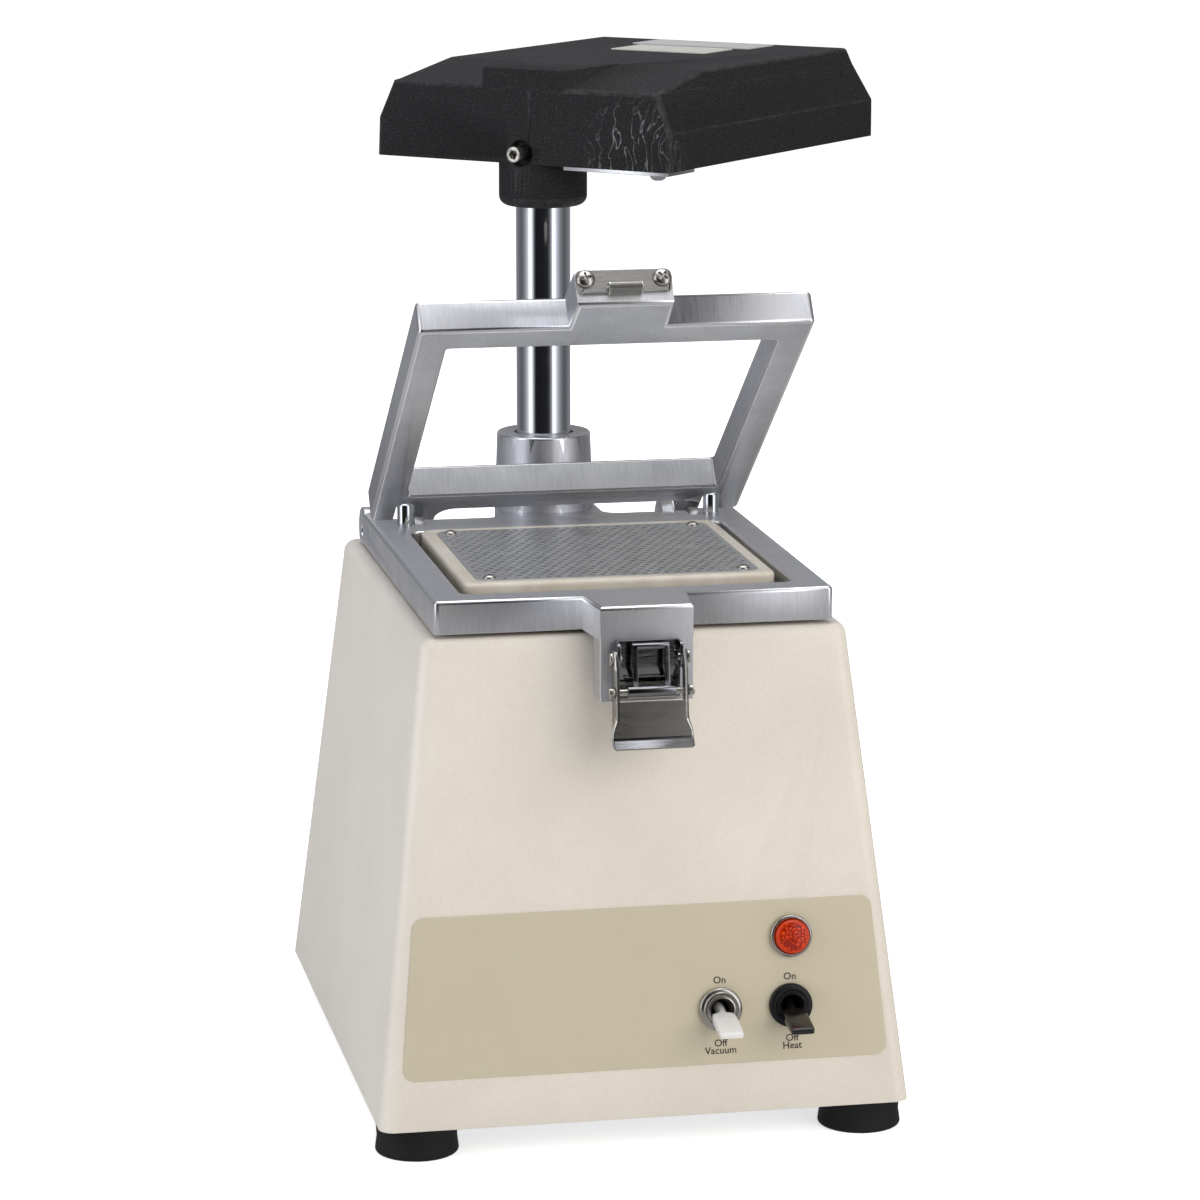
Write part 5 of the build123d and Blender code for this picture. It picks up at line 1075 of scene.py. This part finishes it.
# Polished nickel plate on sheet steel: a dark mirror, softened by fine wiping marks.
polished_nickel = mottled_finish(
    "polished_nickel_sheet", {"Metallic": 1.0}, ("Noise", {"Scale": 1.0, "Detail": 4.0, "Roughness": 0.6}),
    ("#7E7E80", "#9A9A9C"), stretch=(160.0, 900.0, 900.0), dull={1: 0.35, 2: 0.65, 3: 0.06, 4: 0.14},
    relief=(0.15, 0.0001),
)
base_mesh = rounded_copy("latch_base", 0.00025)
fit_piece("latch_base_pressing", base_mesh, polished_nickel, "carriage", "latch_base")

lever_turn = math.radians(6.0)
lever_out = Vector((0, -math.cos(lever_turn), -math.sin(lever_turn)))
lever_down = Vector((0, -math.sin(lever_turn), -math.cos(lever_turn)))
latch_pivot = Vector((0, -0.1028, 0.1895))
eye_radius = 0.0034
eye_foot = 0.003
plate_top = 0.0147
flange_inside = 0.0118
flare_top = 0.0205
flare_length = 0.0065
lip_top = 0.0285


def lever_section(down):
    """The lever's bent sheet, from one flange's back edge to the other's, at a distance down it."""
    flare = max(0.0, min(1.0, (down - flare_top) / flare_length))
    flare = flare * flare * (3 - 2 * flare)
    half = 0.0139 + 0.0014 * flare
    front = 0.0046 + 0.9 * max(0.0, down - lip_top)
    back = -0.0026 + 0.0064 * flare
    if down < eye_foot:
        front = math.sqrt(eye_radius**2 - down**2)
        back = -0.0026 + 0.3 * (eye_foot - down)
    bend = 0.0016 - 0.0008 * flare
    corner = []
    for step in range(7):
        turn = math.radians(15 * step)
        corner.append((half - bend + bend * math.sin(turn), front - bend + bend * math.cos(turn)))
    right = corner + [(half, (front - bend + back) / 2), (half, back)]
    return [(-x, y) for x, y in reversed(right)] + [(0.0, front)] + right


lever_steps = [-0.003, -0.002, 0.0, eye_foot, 0.006, 0.009, 0.012, 0.0135, 0.0148, 0.0150, 0.0172, 0.0190]
lever_steps += [flare_top + flare_length * step / 6 for step in range(7)]
lever_steps += [0.0280, lip_top, 0.0290, 0.0297, 0.0306, 0.0312]
work = bmesh.new()
rows = []
for down in lever_steps:
    row = []
    for x, y in lever_section(down):
        row.append(work.verts.new(latch_pivot + lever_down * down + lever_out * y + Vector((x, 0, 0))))
    rows.append(row)
for down, upper, lower in zip(lever_steps, rows, rows[1:]):
    for k in range(len(upper) - 1):
        # Above its plate the lever is only two flanges.
        if down < plate_top and abs(upper[k].co.x + upper[k + 1].co.x) / 2 < flange_inside:
            continue
        work.faces.new((upper[k], lower[k], lower[k + 1], upper[k + 1]))
loose = [vert for vert in work.verts if not vert.link_faces]
bmesh.ops.delete(work, geom=loose, context="VERTS")
lever_sheet = pressed_sheet(work, "lever_sheet", 0.0011, -1.0, 0.00025, 40.0)
work = bmesh.new()
work.from_mesh(lever_sheet)
bmesh.ops.recalc_face_normals(work, faces=work.faces)
lever_mesh = mark_edges(mesh_of(work, "lever", smooth=True, sharp=38), 0.0004)
fit_piece("latch_lever_pressing", lever_mesh, satin_nickel, "latch_handle", "latch_lever")
lever_mesh.materials.append(polished_nickel)
for polygon in lever_mesh.polygons:
    if (polygon.center - latch_pivot).dot(lever_down) > lip_top + 0.0003:
        polygon.material_index = 1
fit_piece("latch_claw", rounded_copy("latch_link", 0.0003), polished_nickel, "latch_claw", "latch_link")
fit_piece("latch_link_pin", rounded_copy("link_pin", 0.0003), nickel, "latch_handle", "link_pin")
fit_piece("latch_rivet_heads", rounded_copy("latch_rivets", 0.0003), nickel, "carriage", "latch_rivets")

# ------------------------------------------------------------------ heater head
# A black wrinkle-enamelled aluminium casting, clamped to the column's top by a set screw in its hub.
# It swivels aside. Beneath it is a cover over the wiring and a reflector with the heating coil.

# Wrinkle enamel: satin black crinkled into 1 mm folds, drawn 1.3 mm wide so that they show, and
# rubbed a little grey along the edges. One corner is scratched, with short wavy hairlines.
scratched_corner = (0.027, 0.063, 0.358)
wrinkle, tree, shader, place = start_finish("black_wrinkle_enamel", {"IOR": 1.38})
bend = add_node(tree, "TexNoise", {"Scale": 420.0, "Detail": 3.0}, {"Vector": place}).outputs["Color"]
bent = add_node(
    tree, "VectorMath", {"operation": "MULTIPLY_ADD", 1: (0.0016, 0.0016, 0.0016)}, {0: bend, 2: place}
)
folds = add_node(tree, "TexVoronoi", {"feature": "DISTANCE_TO_EDGE", "Scale": 760.0}, {"Vector": bent})
ridge = add_node(tree, "MapRange", {1: 0.0, 2: 0.35}, {0: folds.outputs["Distance"]})
tone = add_node(tree, "Mix", {"data_type": "RGBA", 6: "#0D0D0E", 7: "#202022"}, {0: ridge})
worn_and_highlit_edge = add_node(tree, "Attribute", {"attribute_name": "edge_wear_and_highlight"}).outputs["Fac"]
patches = add_node(tree, "TexNoise", {"Scale": 130.0, "Detail": 5.0, "Roughness": 0.7}, {"Vector": place})
gate = add_node(tree, "MapRange", {1: 0.45, 2: 0.7, 3: 0.1, 4: 0.55}, {0: patches})
worn = add_node(tree, "Math", {"operation": "MULTIPLY"}, {0: worn_and_highlit_edge, 1: gate})
rubbed = add_node(tree, "Mix", {"data_type": "RGBA", 7: "#48484A"}, {0: worn, 6: tone})
swirl = add_node(tree, "TexNoise", {"Scale": 45.0, "Detail": 1.0}, {"Vector": place}).outputs["Color"]
curved = add_node(
    tree, "VectorMath", {"operation": "MULTIPLY_ADD", 1: (0.02, 0.02, 0.0)}, {0: swirl, 2: place}
)
hairs = add_node(
    tree, "Mapping", {"Rotation": (0.12, 0.1, 0.0), "Scale": (230.0, 230.0, 30.0)}, {"Vector": curved}
)
# A scratch runs wherever this noise passes its middle value, near the scratched corner only.
scratch = add_node(tree, "TexNoise", {"Scale": 1.0, "Detail": 2.0}, {"Vector": hairs})
middle = add_node(tree, "Math", {"operation": "SUBTRACT", 1: 0.5}, {0: scratch})
apart = add_node(tree, "Math", {"operation": "ABSOLUTE"}, {0: middle})
thin = add_node(tree, "MapRange", {1: 0.0, 2: 0.016, 3: 0.55, 4: 0.0}, {0: apart})
spot = add_node(tree, "VectorMath", {"operation": "DISTANCE", 1: scratched_corner}, {0: place})
near_spot = add_node(tree, "MapRange", {1: 0.010, 2: 0.024, 3: 1.0, 4: 0.0}, {0: spot.outputs["Value"]})
scored = add_node(tree, "Math", {"operation": "MULTIPLY"}, {0: near_spot, 1: thin})
final = add_node(tree, "Mix", {"data_type": "RGBA", 7: "#98989A"}, {0: scored, 6: rubbed})
dullness = add_node(tree, "MapRange", {3: 0.68, 4: 0.52}, {0: ridge})
skin = add_node(tree, "Bump", {"Strength": 0.75, "Distance": 0.00025}, {"Height": ridge})
set_node(tree, shader, {}, {"Base Color": final, "Roughness": dullness, "Normal": skin})

# The hub's swelling stands a little proud of the near face, so it is dressed flush with it there.
hood_mesh = rounded_copy("heater_head", 0.0006)
face_normal = Vector((-0.67, -0.74, 0.07)).normalized()
face_point = Vector((0.0249, 0.0656, 0.361))
swelling_foot = 0.3475
for vert in hood_mesh.vertices:
    bulge = (vert.co - face_point).dot(face_normal)
    if vert.co.z > swelling_foot and 0.00005 < bulge < 0.003:
        vert.co -= face_normal * bulge
fit_piece("heater_hood", mark_edges(hood_mesh), wrinkle, "head", "heater_head")
fit_piece("hub_set_screw", rounded_copy("clamp_screw", 0.0002), nickel, "head", "clamp_screw")

# Bright rolled aluminium: nearly mirror, with the mill's long soft lines.
bright_aluminium = brushed_metal(
    "bright_rolled_aluminium", "#C4C5C6", "#E3E4E5", "#F0F0F0", 0.22, (700.0, 80.0, 700.0), (0.0, 0.0, 0.84)
)
fit_piece("hood_cover_plate", rounded_copy("head_cover", 0.0002), bright_aluminium, "head", "head_cover")
finish_solids(bright_aluminium, "reflector", "impeller")
head_heading = math.radians(47.9)
head_along = Vector((math.cos(head_heading), math.sin(head_heading), 0))
head_across = Vector((math.sin(head_heading), -math.cos(head_heading), 0))


def on_head(a, b, z):
    """A point on the head, given in metres along it from the hub and across it."""
    return Vector((0, column_y, z)) + head_along * a + head_across * b


drive_screws(
    "cover_fixing_screw", cross_head_screw(0.0034, 0.0024, 0.0015, 0.0065),
    [(*on_head(-0.0115, 0.061, 0.3493), (0, 0, -1), 0.3)], zinc_plate, "head", "cover_screw",
)

# Bare name-plates: a cream printed strip and a grey anodised plate, satin and faintly faded, each
# with a fine darker rim.
hood_top = 0.38840
plate_front = 0.3888
for piece, (along, across), (half_long, half_wide), ground_hex, rim_hex in (
    ("cream_plate", (0.103, 0.001), (0.013, 0.023), "#C3C1B9", "#A5A196"),
    ("grey_plate", (0.1315, 0.0), (0.0115, 0.029), "#B9B8B6", "#8E8D8B"),
):
    finish, tree, shader, place = start_finish(piece + "_film", {"Roughness": 0.45, "IOR": 1.5})
    tint = add_node(tree, "TexNoise", {"Scale": 90.0, "Detail": 4.0}, {"Vector": place})
    faded = add_node(tree, "MapRange", {1: 0.3, 2: 0.7, 3: 0.94, 4: 1.04}, {0: tint})
    rim = add_node(tree, "Attribute", {"attribute_name": "print_tone"}).outputs["Fac"]
    printed = add_node(tree, "Mix", {"data_type": "RGBA", 6: ground_hex, 7: rim_hex}, {0: rim})
    tone = add_node(
        tree, "Mix", {"data_type": "RGBA", "blend_type": "MULTIPLY", 0: 1.0}, {6: printed, 7: faded}
    )
    set_node(tree, shader, {}, {"Base Color": tone})
    work = bmesh.new()
    tone_layer = work.verts.layers.float.new("print_tone")
    loops = []
    for inset, z, rim_tone in (
        (0.0, hood_top, 0.0), (0.0, 0.38875, 0.0), (0.00015, plate_front, 0.0), (0.0010, plate_front, 0.0),
        (0.0011, plate_front, 1.0), (0.0014, plate_front, 1.0), (0.0015, plate_front, 0.0),
    ):
        a_half = half_long - inset
        b_half = half_wide - inset
        loop = []
        for a, b in rounded_outline(a_half, a_half, -b_half, b_half, 0.0016 - inset):
            vert = work.verts.new(on_head(along + a, across - b, z))
            vert[tone_layer] = rim_tone
            loop.append(vert)
        loops.append(loop)
    join_rings(work, loops)
    work.faces.new(loops[-1])
    work.faces.new(loops[0][::-1])
    bmesh.ops.recalc_face_normals(work, faces=work.faces)
    plate_mesh = mesh_of(work, piece)
    if piece == "cream_plate":
        fit_piece(piece, plate_mesh, finish, "head", "head_labels")
    else:
        fit_piece(piece, plate_mesh, finish, "head")

# Fired cordierite tile: buff, matt and finely speckled.
cordierite = mottled_finish(
    "cordierite_tile", {"Roughness": 0.85}, ("Voronoi", {"Scale": 700.0}), ("#CFC2A6", "#E6DCC6"),
    output="Color",
)
finish_solids(cordierite, "heater_tile")

# Oxidised nickel-chrome wire: brown-grey with a satin scale, its close winding drawn 1.2 mm apart.
heating_wire = mottled_finish(
    "oxidised_nichrome_wire", {"Metallic": 0.8, "Roughness": 0.45},
    ("Wave", {"bands_direction": "DIAGONAL", "Scale": 130.0, "Distortion": 0.4}), ("#3B3631", "#8B837A"),
    relief=(0.8, 0.0004),
)
finish_solids(heating_wire, "heater_coil")

# Glass wool blanket: pale yellow-white with tangled fibres.
glass_wool = mottled_finish(
    "glass_wool_blanket", {"Roughness": 0.95, "Sheen Weight": 0.3},
    ("Noise", {"Scale": 500.0, "Detail": 6.0, "Distortion": 2.5}), ("#D6CDA8", "#F2EEDD"),
    relief=(0.9, 0.0006),
)
finish_solids(glass_wool, "insulation")
finish_solids(zinc_plate, "heater_terminals")

# ------------------------------------------------------------------ supply cord gland
# A moulded nylon gland at the back, with a ribbed collar, through which the supply cord would pass.

# Moulded black nylon: satin, with a fine spark-eroded grain.
gland_nylon = mottled_finish(
    "moulded_black_nylon", {"Roughness": 0.48, "IOR": 1.53}, ("Noise", {"Scale": 900.0, "Detail": 3.0}),
    ("#161617", "#262627"), relief=(0.25, 0.0001),
)
fit_piece("supply_cord_gland", rounded_copy("cord_gland", 0.0004), gland_nylon, "base", "cord_gland")

# ------------------------------------------------------------------ suction blower
# A sheet-metal fan shell sealed under the deck, with a universal motor hung beneath it on studs.
# All of it is inside the cabinet, so the solids keep their own shape and only take their finish.
finish_solids(foot_rubber, "blower_seal")
finish_solids(zinc_plate, "fan_shell", "hanger_studs", "tie_bolts", "rotor_shaft")

# As-cast aluminium brackets: light grey with a fine die-cast bloom.
die_cast = mottled_finish(
    "die_cast_aluminium", {"Metallic": 1.0, "Roughness": 0.5}, ("Noise", {"Scale": 260.0, "Detail": 5.0}),
    ("#8F9092", "#B9BABB"),
)
finish_solids(die_cast, "motor_bracket", "end_bracket")

# Stacked silicon-steel sheets, 0.5 mm thick and drawn 1 mm apart, with blued edges.
lamination_steel = mottled_finish(
    "silicon_steel_laminations", {"Metallic": 0.9, "Roughness": 0.42},
    ("Wave", {"bands_direction": "Z", "Scale": 160.0, "Distortion": 0.0}), ("#34373C", "#6C7076"),
)
finish_solids(lamination_steel, "stator", "armature")

# Hard-drawn copper bars: a warm satin, dulled brown in tracks by the brushes.
copper = mottled_finish(
    "commutator_copper", {"Metallic": 1.0, "Roughness": 0.3}, ("Noise", {"Scale": 400.0, "Detail": 4.0}),
    ("#7A3F22", "#C7794B"),
)
finish_solids(copper, "commutator")
finish_solids(phenolic, "brush_holders")

low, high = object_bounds()
